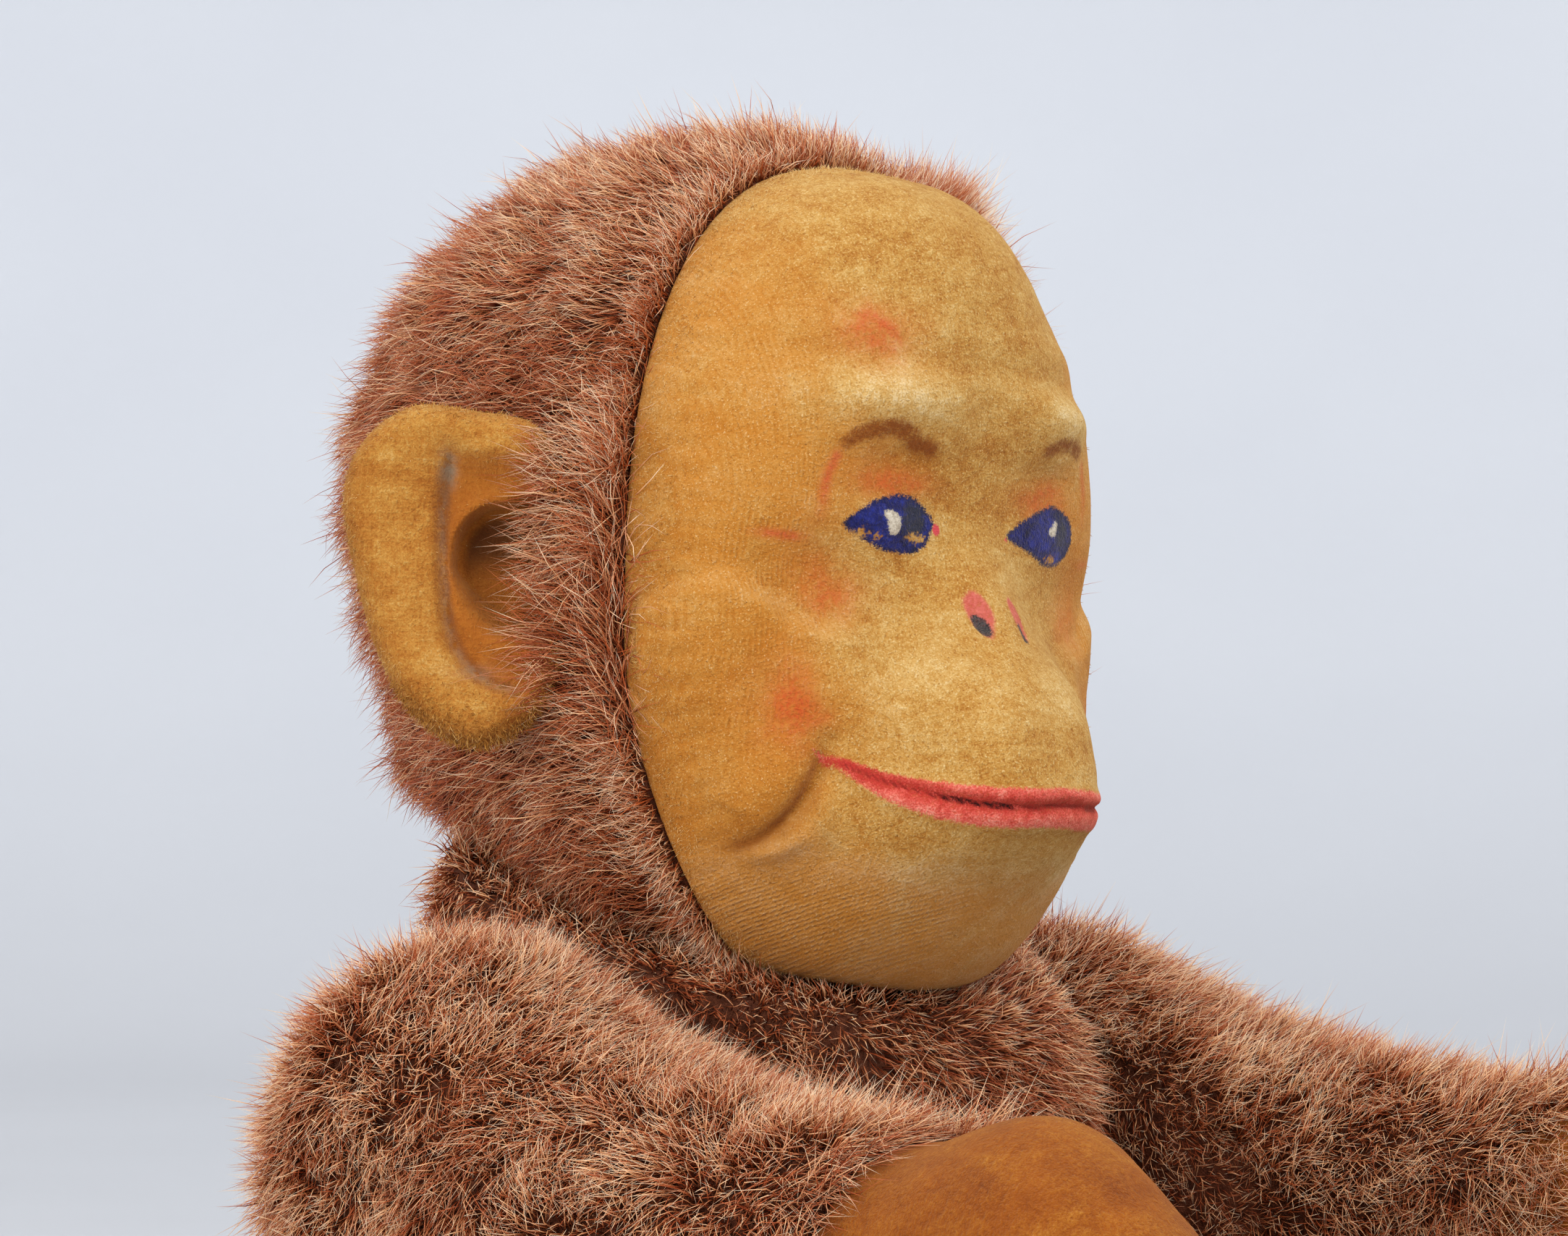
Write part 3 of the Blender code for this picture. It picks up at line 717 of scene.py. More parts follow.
def face_shader():
    s = Shader("painted_velvet", Roughness=0.9, Sheen_Weight=0.16, Sheen_Roughness=0.45)
    s.bsdf.inputs["Specular IOR Level"].default_value = 0.15
    s.bsdf.inputs["Sheen Tint"].default_value = (*srgb(244, 222, 170), 1)
    value, height, grain = velvet_base(s, s.attr("tone"), s.attr("rib_amount"), s.attr("row_amount"))
    colour = s.ramp(value, VELVET_STOPS)
    warm = s.math("ADD", s.attr("warm"), s.scaled(s.noise(210, 4, 0.6, distortion=0.5), 0.9))
    colour = s.mix(s.math("MULTIPLY", s.range(warm, 0.1, 1.0), 0.66), colour, srgb(197, 122, 36))
    speck = s.range(s.noise(4600, 2, 0.5), 0.60, 0.74, 0.0, 0.6)
    colour = s.mix(speck, colour, srgb(128, 74, 28))
    light = s.range(s.noise(5200, 2, 0.5), 0.60, 0.74, 0.0, 0.5)
    colour = s.mix(light, colour, srgb(232, 204, 150))
    fuzz = s.noise(2600, 3, 0.7)
    wide = s.noise(700, 3, 0.6)
    fine = s.noise(6500, 2, 0.6)
    ragged = s.add(s.scaled(fuzz, 0.9), s.scaled(wide, 0.4), s.scaled(fine, 0.6))  # mm, for the paint's edges

    def inked(mask, noise, depth):
        """Paint that sits on the pile: it thins out in the noise."""
        return s.math("MULTIPLY", mask, s.range(noise, 0.15, 0.55, 1.0 - depth, 1.0))

    # soft marks
    colour = s.mix(
        s.math("MULTIPLY", s.attr("shade"), s.range(wide, 0.2, 0.8, 0.65, 1.0), clamp=True),
        colour,
        srgb(146, 84, 28),
    )
    colour = s.mix(
        s.math("MULTIPLY", s.attr("blush"), s.range(s.add(fuzz, s.scaled(wide, 0.8)), 0.2, 0.8, 0.35, 1.05), clamp=True),
        colour,
        srgb(200, 86, 38),
    )
    red = s.math("MULTIPLY", s.attr("red_line"), s.range(fuzz, 0.25, 0.7, 0.45, 1.0), clamp=True)
    colour = s.mix(red, colour, srgb(202, 74, 46))
    brow = s.add(s.attr("brow"), s.scaled(fuzz, 1.0), s.scaled(wide, 0.9), s.scaled(fine, 1.0))
    brow = s.math("MULTIPLY", s.range(brow, 0.25, 1.05), s.range(s.attr("brow"), 0.04, 0.6))
    colour = s.mix(s.math("MULTIPLY", brow, 0.95, clamp=True), colour, srgb(132, 66, 18))
    # lips
    lip = s.range(s.math("ADD", s.attr("lip"), ragged), 0.18, -0.22)
    lip_tone = s.add(grain, s.scaled(wide, 0.7), s.scaled(s.attr("lip_deep"), -0.35, 0.0))
    lip_colour = s.ramp(
        lip_tone, [(0.2, srgb(188, 54, 44)), (0.44, srgb(220, 92, 78)), (0.66, srgb(236, 142, 122)), (0.86, srgb(244, 186, 160))]
    )
    colour = s.mix(inked(lip, fuzz, 0.25), colour, lip_colour)
    parting = s.math("ADD", s.attr("parting"), s.scaled(ragged, 0.6, 0.0))
    parting = s.math("MULTIPLY", s.range(parting, 0.22, -0.06), s.range(wide, 0.2, 0.62, 0.45, 1.0))
    colour = s.mix(s.math("MULTIPLY", parting, 0.85), colour, srgb(140, 34, 30))
    black_bits = s.add(s.scaled(s.attr("black_part"), 0.55, 1.0), s.scaled(fuzz, 2.0), s.scaled(wide, 1.0))
    black_bits = s.math("MULTIPLY", s.math("MULTIPLY", parting, s.range(s.attr("black_part"), 0.05, 0.3)), s.range(black_bits, -0.22, 0.1))
    colour = s.mix(black_bits, colour, srgb(44, 16, 18))
    # nostrils
    pink = s.range(s.math("ADD", s.attr("pink"), s.scaled(ragged, 0.6, 0.0)), 0.22, -0.3)
    pink_colour = s.ramp(s.add(fuzz, s.scaled(wide, 0.4)), [(0.3, srgb(190, 74, 66)), (0.7, srgb(214, 116, 100))])
    colour = s.mix(inked(pink, fuzz, 0.4), colour, pink_colour)
    black = s.range(s.math("ADD", s.attr("black"), s.scaled(ragged, 0.6, 0.0)), 0.14, -0.14)
    black_colour = s.ramp(fine, [(0.35, srgb(30, 27, 30)), (0.7, srgb(92, 84, 82))])
    colour = s.mix(inked(black, fuzz, 0.25), colour, black_colour)
    # eyes
    eye = s.math("ADD", s.attr("eye"), s.scaled(ragged, 1.3, 0.0))
    whole = s.range(eye, 0.2, -0.2)
    blue = s.ramp(
        s.add(wide, s.scaled(fuzz, 0.5)),
        [(0.25, srgb(12, 14, 44)), (0.5, srgb(20, 27, 92)), (0.8, srgb(38, 52, 150))],
    )
    pupil = s.range(s.math("ADD", s.attr("pupil"), s.scaled(ragged, 1.6, 0.0)), 0.7, -0.7)
    blue = s.mix(s.math("MULTIPLY", pupil, 0.9), blue, srgb(38, 42, 56))
    rim = s.range(eye, -0.55, -0.1)
    blue = s.mix(s.math("MULTIPLY", rim, 0.6), blue, srgb(14, 14, 38))
    specks = s.range(s.add(fine, s.scaled(fuzz, 0.6)), 0.66, 0.82, 0.0, 0.55)
    blue = s.mix(specks, blue, srgb(112, 112, 150))
    worn = s.math("ADD", s.attr("worn"), s.scaled(s.noise(2600, 3, 0.65), 2.0))
    keep_paint = s.math("SUBTRACT", 1.0, s.range(worn, 0.25, -0.3))
    colour = s.mix(s.math("MULTIPLY", whole, keep_paint), colour, blue)
    dab = s.range(s.math("ADD", s.attr("dab"), s.scaled(ragged, 1.1, 0.0)), 0.14, -0.12)
    dab_colour = s.ramp(s.add(fuzz, s.scaled(fine, 0.5)), [(0.25, srgb(150, 136, 118)), (0.5, srgb(205, 192, 170)), (0.75, srgb(232, 224, 206))])
    colour = s.mix(inked(dab, fuzz, 0.2), colour, dab_colour)
    tear = s.range(s.math("ADD", s.attr("tear"), s.scaled(ragged, 0.5, 0.0)), 0.1, -0.1)
    colour = s.mix(tear, colour, srgb(206, 72, 78))
    paint = s.math("MAXIMUM", whole, black)
    rough = s.math("MULTIPLY_ADD", paint, -0.32, 0.92)
    return s.finish(colour, s.bump(height, 0.00030, 0.9), rough)


def fur_shader(name):
    """Strands carry a map: x is the strand's own tone, y runs from root to tip."""
    s = Shader(name, Roughness=0.5)
    s.bsdf.inputs["Specular IOR Level"].default_value = 0.35
    uv = s.node("ShaderNodeUVMap", uv_map="OFBake").outputs[0]
    xy = s.node("ShaderNodeSeparateXYZ")
    s.set(xy.inputs[0], uv)
    tone, along = xy.outputs[0], xy.outputs[1]
    # Both ramps are near black at the root: the mohair's deep red-brown base with painted shade down in the pile over
    # it. The pale tips are the mohair's own.
    deep = s.ramp(
        along,
        [
            (0.0, srgb(50, 15, 6)),
            (0.35, srgb(130, 52, 20)),
            (0.7, srgb(182, 86, 37)),
            (1.0, srgb(214, 126, 68)),
        ],
    )
    pale = s.ramp(
        along,
        [
            (0.0, srgb(96, 40, 18)),
            (0.3, srgb(204, 118, 66)),
            (0.6, srgb(246, 190, 136)),
            (1.0, srgb(255, 242, 214)),
        ],
    )
    colour = s.mix(s.range(tone, 0.22, 0.86), deep, pale)
    return s.finish(colour)


def fuzz_shader():
    """The velvet's own short pile where it stands clear of the cloth."""
    s = Shader("velvet_pile", Roughness=0.9)
    s.bsdf.inputs["Specular IOR Level"].default_value = 0.1
    uv = s.node("ShaderNodeUVMap", uv_map="OFBake").outputs[0]
    xy = s.node("ShaderNodeSeparateXYZ")
    s.set(xy.inputs[0], uv)
    # Darker towards the root: painted shade in the pile.
    colour = s.ramp(
        s.math("MULTIPLY_ADD", xy.outputs[1], 0.35, s.math("MULTIPLY", xy.outputs[0], 0.65)),
        [(0.1, srgb(140, 86, 34)), (0.4, srgb(192, 132, 56)), (0.7, srgb(214, 166, 92)), (1.0, srgb(236, 208, 152))],
    )
    return s.finish(colour)


def backing_shader():
    s = Shader("mohair_backing", Roughness=0.95)
    s.bsdf.inputs["Specular IOR Level"].default_value = 0.1
    n = s.noise(900, 4, 0.6)
    f = s.noise(4000, 2, 0.6)
    colour = s.ramp(
        s.add(n, s.scaled(f, 0.4)), [(0.3, srgb(60, 30, 19)), (0.55, srgb(92, 50, 32)), (0.8, srgb(122, 72, 50))]
    )
    return s.finish(colour, s.bump(f, 0.0004))


def inner_shaders():
    wool = Shader("wood_wool", Roughness=0.9)
    a = wool.noise(500, 5, 0.7, squash=(0.15, 1, 1))
    b = wool.noise(600, 5, 0.7, squash=(1, 0.2, 1))
    wool.finish(
        wool.ramp(wool.math("MAXIMUM", a, b), [(0.4, srgb(170, 132, 80)), (0.7, srgb(222, 192, 140))]),
        wool.bump(wool.math("MAXIMUM", a, b), 0.0006),
    )
    board = Shader("hardboard", Roughness=0.75)
    a = board.noise(1400, 5, 0.7, squash=(1, 1, 0.3))
    board.finish(board.ramp(a, [(0.3, srgb(92, 62, 40)), (0.7, srgb(134, 98, 66))]), board.bump(a, 0.0001))
    steel = Shader("wire", Metallic=1.0, Roughness=0.38)
    a = steel.noise(2500, 3, 0.6, squash=(1, 1, 0.1))
    steel.finish(
        steel.ramp(a, [(0.3, srgb(150, 148, 146)), (0.7, srgb(192, 190, 186))]),
        steel.bump(a, 0.00003),
        steel.math("MULTIPLY_ADD", a, 0.25, 0.25),
    )
    return {"stuffing": wool.mat, "hardboard": board.mat, "steel": steel.mat}


FUR = fur_shader("mohair_pile")
BACKING = backing_shader()
FUZZ = fuzz_shader()
VELVET = velvet_shader("velvet", HAND_STOPS, (166, 86, 18))
EAR_VELVET = velvet_shader(
    "ear_velvet",
    [
        (0.0, srgb(122, 62, 22)),
        (0.3, srgb(158, 92, 32)),
        (0.55, srgb(182, 118, 46)),
        (0.8, srgb(199, 144, 66)),
        (1.0, srgb(212, 168, 98)),
    ],
)
FACE = face_shader()

# ------------------------------------------------------------------ carried-over pieces inside
inner = inner_shaders()
slot_of = {x["node"]: x["material_slot"] for x in frame["record"]["subparts"]}
for name, ob in frame["nodes"].items():
    mat = inner.get(slot_of.get(name))
    if mat is not None:
        ob.data.materials.clear()
        ob.data.materials.append(mat)


# ------------------------------------------------------------------ the face
EYE_R = [(-16.3, 0.8), (-15.3, 2.0), (-13.6, 3.1), (-11.6, 3.9), (-9.8, 4.1), (-8.1, 3.8), (-6.6, 2.8), (-5.6, 1.7), (-5.9, 0.6), (-6.6, -0.7), (-8.1, -1.5), (-10.3, -1.6), (-12.5, -1.2), (-14.4, -0.4)]
EYE_L = [(4.7, 1.1), (6.2, 2.2), (8.4, 3.3), (10.5, 4.1), (12.6, 4.8), (14.6, 4.6), (16.5, 3.6), (17.3, 2.1), (16.8, 0.6), (15.3, -0.8), (13.1, -1.3), (11.1, -1.0), (8.6, -0.2), (6.1, 0.4)]
DAB_R = [(-12.2, 2.2), (-11.3, 2.5), (-10.2, 2.0), (-10.0, 1.2), (-10.3, 0.4), (-11.0, 0.1), (-11.6, 0.8), (-11.8, 1.5)]
DAB_L = [(12.0, 2.2), (12.8, 2.8), (13.4, 3.4), (13.9, 3.2), (13.7, 2.6), (13.3, 1.9), (12.3, 1.8)]
BROW_R = [(-17.5, 7.7), (-16.5, 9.0), (-15.3, 9.8), (-13.9, 10.2), (-12.1, 10.5), (-10.7, 9.9), (-9.2, 9.1), (-7.4, 8.8), (-5.9, 8.7)]
BROW_L = [(8.2, 9.4), (10.2, 10.3), (12.1, 10.9), (14.1, 11.0), (16.1, 10.4), (17.3, 9.7)]
ARC_R = [(-17.3, 8.0), (-18.3, 5.6), (-18.6, 3.8), (-18.8, 1.6)]
ARC_L = [(17.4, 9.9), (18.6, 8.2), (19.3, 6.3), (19.4, 3.6)]
CORNER_R = [(-24.4, -0.3), (-22.2, -0.5), (-19.6, -0.7)]
LIP_TOP = [(-19.6, -21.3), (-18.3, -21.8), (-16.8, -22.4), (-14.7, -23.4), (-12.1, -24.1), (-8.1, -24.6), (-4.0, -24.6), (0, -24.4), (4.0, -24.5), (8.1, -24.5), (12.1, -24.0), (14.7, -23.3), (16.8, -22.4), (18.3, -21.8), (19.5, -21.3)]
LIP_LOW = [(18.6, -22.2), (17.6, -23.3), (16.0, -25.1), (13.9, -26.6), (11.2, -27.7), (7.6, -28.3), (4.0, -28.4), (0, -28.3), (-4.0, -28.5), (-7.6, -28.5), (-11.2, -27.9), (-13.9, -26.7), (-15.9, -25.3), (-17.7, -23.3), (-18.7, -22.2)]
PARTING = [(-17.6, -22.7), (-14.7, -24.3), (-12.1, -25.4), (-10.0, -26.0), (-7.0, -26.4), (-3.0, -26.4), (0, -26.1), (3.0, -26.1), (7.0, -26.2), (10.0, -25.8), (12.1, -25.2), (14.7, -24.2), (17.5, -22.7)]
PINK_R = [(-4.1, -6.1), (-3.5, -5.3), (-2.8, -4.9), (-2.1, -5.4), (-1.6, -6.6), (-1.6, -8.0), (-2.3, -9.6), (-2.8, -9.7), (-3.5, -8.8), (-4.0, -7.6)]
PINK_L = [(1.0, -6.0), (1.6, -5.3), (2.2, -5.6), (2.8, -6.8), (3.2, -8.2), (3.3, -9.5), (2.6, -9.7), (1.7, -8.9), (1.1, -7.6)]
BLACK_R = [(-3.8, -7.7), (-3.2, -7.4), (-2.4, -7.9), (-2.1, -8.8), (-2.4, -9.5), (-3.0, -9.5), (-3.6, -8.8)]
BLACK_L = [(1.3, -8.0), (1.9, -8.0), (2.6, -8.7), (3.1, -9.6), (2.7, -9.9), (1.9, -9.3)]
CHEEKBONE = [(-40, -9.0), (-29.0, -7.3), (-27.7, -5.5), (-25.6, -5.0), (-23.2, -6.5), (-21.2, -8.8), (-18.2, -9.6), (-14.0, -9.8), (0, -9.8)]
FOLD = [(-18.2, -20.3), (-18.9, -22.8), (-19.8, -25.1), (-20.7, -27.3), (-21.8, -29.5), (-23.3, -30.8)]
FOLD_RIDGE = [(-23.2, -31.9), (-20.9, -31.0), (-19.4, -28.8)]


def face_relief(x, z):
    """What the finished face has beyond the solid, outward, mm."""
    m = -np.abs(x)  # both sides are formed alike
    out = 1.0 * bump(-m, z, 13.0, 13.4, 6.0, 2.3)  # brow ridge
    out -= 0.45 * bump(-m, z, 12.0, 17.2, 9.0, 1.6)
    out += 0.35 * bump(-m, z, 12.0, 20.5, 9.0, 1.8)
    out += 0.9 * bump(-m, z, 10.9, 1.6, 4.6, 2.6)  # eyeball under the velvet
    out -= 0.5 * bump(-m, z, 11.0, 7.4, 6.0, 1.6)
    out -= 1.0 * bump(-m, z, 19.5, -3.0, 5.5, 3.6)  # hollow under the eye
    cb = np.array(CHEEKBONE, float)
    dz = z - np.interp(m, cb[:, 0], cb[:, 1])
    pad = step01((1.6 - dz) / 3.0) * step01((dz + 15.0) / 11.0)
    out += 1.2 * pad * step01((-m - 12.5) / 4.0)
    d, t = line_distance(m, z, smooth_line(FOLD))
    strength = np.sin(np.pi * np.clip(t * 0.85 + 0.12, 0, 1))
    out -= 1.35 * strength * np.exp(-((d / 0.75) ** 2))
    side = step01((-19.3 - m - 0.35 * (z + 22)) / 1.5)
    out += (0.45 + 0.4 * (x < 0)) * strength * np.exp(-(((d - 2.4) / 1.9) ** 2)) * side
    d, t = line_distance(m, z, smooth_line(FOLD_RIDGE))
    out += (0.4 + 0.4 * (x < 0)) * np.sin(np.pi * np.clip(t, 0.02, 0.98)) * np.exp(-((d / 0.9) ** 2))
    lip = shape_distance(x, z, LIP_TOP + LIP_LOW)
    out += 0.38 * step01((0.8 - lip) / 1.4)
    d, t = line_distance(x, z, smooth_line(PARTING))
    out -= 0.85 * np.sin(np.pi * np.clip(t, 0, 1)) ** 0.6 * np.exp(-((d / 0.42) ** 2))
    out -= 0.5 * bump(x, z, -3.0, -8.6, 0.9, 1.2) + 0.5 * bump(x, z, 2.6, -9.2, 0.9, 1.2)
    out += 0.5 * bump(-m, z, 0.0, -33.0, 13.0, 4.5)  # chin pad
    q = np.stack([x, np.zeros_like(x), z], -1)
    out += 0.22 * vnoise(q, 7.0, 11) + 0.06 * vnoise(q, 2.2, 12)
    return out


def disk_grid(n):
    """An n x n square grid pressed into the unit disc: radius and direction."""
    g = np.linspace(-1, 1, n)
    u, v = np.meshgrid(g, g, indexing="ij")
    big = np.abs(u) >= np.abs(v)
    safe_u = np.where(u == 0, 1e-12, u)
    safe_v = np.where(v == 0, 1e-12, v)
    r = np.where(big, u, v)
    a = np.where(big, (math.pi / 4) * (v / safe_u), math.pi / 2 - (math.pi / 4) * (u / safe_v))
    return r, a


def border(n):
    """Indices round the edge of an n x n grid, in order."""
    i = np.arange(n)
    return np.concatenate([i[:-1] * n, (n - 1) * n + i[:-1], i[:0:-1] * n + n - 1, i[:0:-1]])


def closed_disk(front, n, lid):
    """Quads of an n x n grid plus a lid: rings of points given in order, the last a single point."""
    faces = [grid_faces(n, n, False)]
    ring = border(n)
    verts = [front.reshape(-1, 3)]
    at = n * n
    for pts in lid[:-1]:
        m = len(ring)
        new = at + np.arange(m)
        verts.append(pts)
        k = np.arange(m)
        k2 = (k + 1) % m
        faces.append(np.stack([ring[k], ring[k2], new[k2], new[k]], -1))
        ring, at = new, at + m
    verts.append(lid[-1].reshape(1, 3))
    k = np.arange(len(ring))
    k2 = (k + 1) % len(ring)
    faces.append(np.stack([ring[k], ring[k2], np.full(len(ring), at)], -1))
    return np.vstack(verts), faces


def arc_lengths(p):
    """Distances along each grid direction, from the middle, mm."""
    n = p.shape[0]
    a = np.cumsum(np.r_[np.zeros((1, n)), np.linalg.norm(np.diff(p, axis=0), axis=2)], axis=0)
    b = np.cumsum(np.c_[np.zeros((n, 1)), np.linalg.norm(np.diff(p, axis=1), axis=2)], axis=1)
    return a - a[n // 2], b - b[:, n // 2 : n // 2 + 1]


FUZZ_FACE, FUZZ_EAR = [], []


def make_face():
    n = 281
    r, a = disk_grid(n)
    rho = np.sin(np.abs(r) * math.pi / 2) * np.sign(r)
    rr = outline(np.arctan2(np.sign(r) * np.sin(a), np.sign(r) * np.cos(a)))
    x = rho * rr * np.cos(a)
    z = FACE_MID + rho * rr * np.sin(a)
    edge = np.abs(r)
    y = face_y(x, z)
    p = np.stack([x, y, z], -1)
    nrm = grid_normals(p, wrap=False)
    nrm = np.where((nrm[..., 1] > 0)[..., None], -nrm, nrm)
    relief = face_relief(x, z) * step01((1 - edge) / 0.06)
    turn = np.linspace(0, 2 * math.pi, 2001)
    rim_at = outline(turn)
    rim_xz = np.stack([rim_at * np.cos(turn), rim_at * np.sin(turn)], -1)
    walked = np.r_[0, np.cumsum(np.linalg.norm(np.diff(rim_xz, axis=0), axis=1))]
    arc = np.interp(np.arctan2(z - FACE_MID, x) % (2 * math.pi), turn, walked)
    from_edge = (1 - np.abs(rho)) * rr
    stitches = 0.5 + 0.5 * np.cos(2 * math.pi * arc / 2.7 + 1.3 * vnoise(p, 6.0, 14))
    relief -= 0.13 * stitches**2 * np.exp(-(((from_edge - 0.9) / 0.8) ** 2))
    relief += 0.10 * np.exp(-(((from_edge - 2.2) / 1.2) ** 2))
    p = p + nrm * relief[..., None]
    # the cloth rolls inwards at its seam
    p[..., 1] -= 0.25
    p = onto_neck(p, +1, 1.2)
    b = border(n)
    flat = p.reshape(-1, 3)
    rim = flat[b]
    mid = np.array([0, 0, FACE_MID])
    inward = unit((mid - rim) * np.array([1, 0, 1]))
    lid = [
        rim + inward * 0.35 + np.array([0, 0.32, 0]),
        rim + inward * 0.9 + np.array([0, 0.35, 0]),
        rim + inward * 9 + np.array([0, 0.1, 0]),
        np.array([0, float(rim[:, 1].mean()), FACE_MID]),
    ]
    verts, faces = closed_disk(p, n, lid)
    xs, zs = verts[:, 0], verts[:, 2]
    m = np.abs(xs)
    attr = {}
    attr["eye"] = np.minimum(shape_distance(xs, zs, EYE_R), shape_distance(xs, zs, EYE_L))
    attr["pupil"] = np.minimum(
        np.hypot((xs + 8.2) / 1.0, (zs - 1.7) / 1.3) - 1.5, np.hypot((xs - 14.9) / 1.0, (zs - 2.3) / 1.3) - 1.3
    )
    attr["worn"] = np.minimum.reduce(
        [
            np.hypot((xs + 7.9) / 2.2, zs - 0.0) - 0.42,
            np.hypot((xs + 14.4) / 1.6, zs - 0.1) - 0.38,
            np.hypot((xs + 12.7) / 1.2, zs + 0.15) - 0.3,
            np.hypot((xs - 13.0) / 2.0, zs + 0.55) - 0.4,
        ]
    )
    attr["dab"] = np.minimum(shape_distance(xs, zs, DAB_R), shape_distance(xs, zs, DAB_L))
    attr["tear"] = np.minimum(
        np.hypot((xs + 5.3) / 0.75, (zs - 1.0) / 1.15) - 0.55, np.hypot((xs - 4.5) / 0.75, (zs - 0.7) / 1.1) - 0.3
    )

    def stroke(points, width, fade0=0.1, fade1=0.1):
        d, t = line_distance(xs, zs, smooth_line(points))
        ends = step01(t / fade0) * step01((1 - t) / fade1) if fade0 else 1.0
        return np.exp(-((d / width) ** 2)) * (0.3 + 0.7 * ends)

    attr["brow"] = np.maximum(stroke(BROW_R, 1.15, 0.12, 0.10), stroke(BROW_L, 1.0, 0.2, 0.15))
    red = 0.80 * stroke(ARC_R, 0.55, 0.1, 0.5)
    red = np.maximum(red, 0.55 * stroke(ARC_L, 0.55, 0.1, 0.5))
    red = np.maximum(red, 0.72 * stroke(CORNER_R, 0.5, 0.3, 0.3))
    red = np.maximum(red, 0.45 * stroke([(24.2, 0.0), (22.0, -0.3), (19.8, -0.5)], 0.5, 0.3, 0.3))
    red = np.maximum(red, 0.5 * stroke([(-15.4, 19.9), (-14.0, 21.6), (-12.6, 21.0), (-11.2, 18.9)], 0.55, 0.3, 0.4))
    attr["red_line"] = red
    wob = vnoise(verts, 2.6, 61)
    bx, bz = xs + 0.9 * wob, zs + 0.8 * vnoise(verts, 2.2, 62)
    blush = 0.38 * bump(bx, bz, -17.2, -5.6, 4.2, 3.0) + 0.40 * bump(bx, bz, -16.7, -6.3, 2.2, 1.8)
    blush += 0.46 * bump(bx, bz, 17.9, -7.0, 3.4, 3.2)
    blush += 0.80 * bump(bx, bz, -21.0, -17.3, 1.8, 3.3, 2.2)
    blush += 0.34 * bump(bx, bz, -21.6, -16.6, 3.2, 5.0)
    blush += 0.80 * bump(bx, bz, 21.0, -17.3, 1.8, 2.8, 2.2)
    blush += 0.60 * bump(bx, bz, -13.4, 19.5, 3.4, 2.4)
    blush += 0.24 * bump(bx, bz, -12.8, 19.4, 5.0, 3.6)
    blush += 0.84 * bump(m + 0.5 * wob, bz, 10.4, 5.2, 4.2, 1.5)
    blush += 0.22 * bump(m, zs, 13.5, 6.6, 3.0, 3.0)
    blush += 0.14 * bump(m, zs, 19.0, 1.0, 3.0, 4.0)
    attr["blush"] = blush
    attr["lip"] = shape_distance(xs, zs, LIP_TOP + LIP_LOW)
    d, t = line_distance(xs, zs, smooth_line(PARTING))
    attr["parting"] = d - 0.16 * np.sin(np.pi * np.clip(t, 0, 1)) - 0.12 * (vnoise(verts, 3.0, 5) > 0)
    attr["black_part"] = bump(xs, zs, -8.3, -26.0, 3.6, 4.0, 4.0) + 0.6 * bump(xs, zs, 6.5, -26.0, 3.0, 4.0)
    attr["lip_deep"] = np.exp(-((d / 0.9) ** 2))
    attr["pink"] = np.minimum(shape_distance(xs, zs, PINK_R), shape_distance(xs, zs, PINK_L))
    attr["black"] = np.minimum(shape_distance(xs, zs, BLACK_R), shape_distance(xs, zs, BLACK_L))
    # The tone paints light and shade over the velvet's own colour. The sides lower down are a little darker, partly the
    # velvet's own colour and partly painted shade. Painted highlights sit on the brow ridge, the muzzle's top, the
    # cheekbone and the ridge below the fold. The chin is painted lighter where little light reaches it. Painted shade
    # sits over the eyes, in the hollows under them and on the bridge of the nose.
    tone = 0.53 - 0.10 * step01((m - 9.0) / 18.0) + 0.12 * step01((m - 9.0) / 18.0) * step01((zs + 8.0) / 12.0)
    tone += 0.28 * bump(m, zs, 12.5, 13.8, 6.5, 2.9)
    tone += 0.14 * bump(xs, zs, 0.0, -14.0, 12.0, 5.0)
    tone += 0.08 * bump(m, zs, 23.0, -6.4, 7.0, 2.2)
    tone += 0.24 * step01((-27.5 - zs) / 8.0)
    tone += 0.12 * bump(m, zs, 14.0, -32.5, 7.0, 2.5)
    tone -= 0.06 * bump(m, zs, 10.5, 6.5, 6.5, 3.0)
    tone -= 0.12 * bump(m, zs, 19.0, -3.0, 6.0, 3.2)
    tone -= 0.10 * bump(m, zs, 3.0, 5.0, 6.0, 4.0)
    dk, tk = line_distance(-m, zs, smooth_line(CHEEKBONE))
    tone += 0.15 * np.exp(-((dk / 1.3) ** 2)) * step01((m - 14.0) / 5.0)
    dk, tk = line_distance(-m, zs, smooth_line(FOLD_RIDGE))
    tone += 0.20 * np.exp(-((dk / 1.7) ** 2))
    attr["tone"] = tone
    df, tf = line_distance(-m, zs, smooth_line(FOLD))
    shade = 1.0 * np.exp(-((df / 0.62) ** 2)) * step01(tf / 0.3) + 0.25 * np.exp(-((df / 1.5) ** 2)) * step01((tf - 0.3) / 0.4)
    shade += 0.16 * step01((-38.5 - zs) / 7.0)
    shade += 0.06 * bump(m, zs, 11.0, 7.0, 7.0, 2.5) + 0.10 * bump(m, zs, 17.5, -3.8, 5.0, 2.6)
    attr["shade"] = shade
    u, v = arc_lengths(p)
    pad = len(verts) - n * n
    attr["rib_u"] = np.r_[xs[: n * n] * 1.12, np.zeros(pad)]
    attr["rib_v"] = np.r_[zs[: n * n] * 1.1 + 0.3 * y.ravel() + 0.2 * m[: n * n], np.zeros(pad)]
    attr["rib_amount"] = 0.35 + 0.9 * step01((m - 16.0) / 6.0) * step01((zs + 26.0) / 8.0)
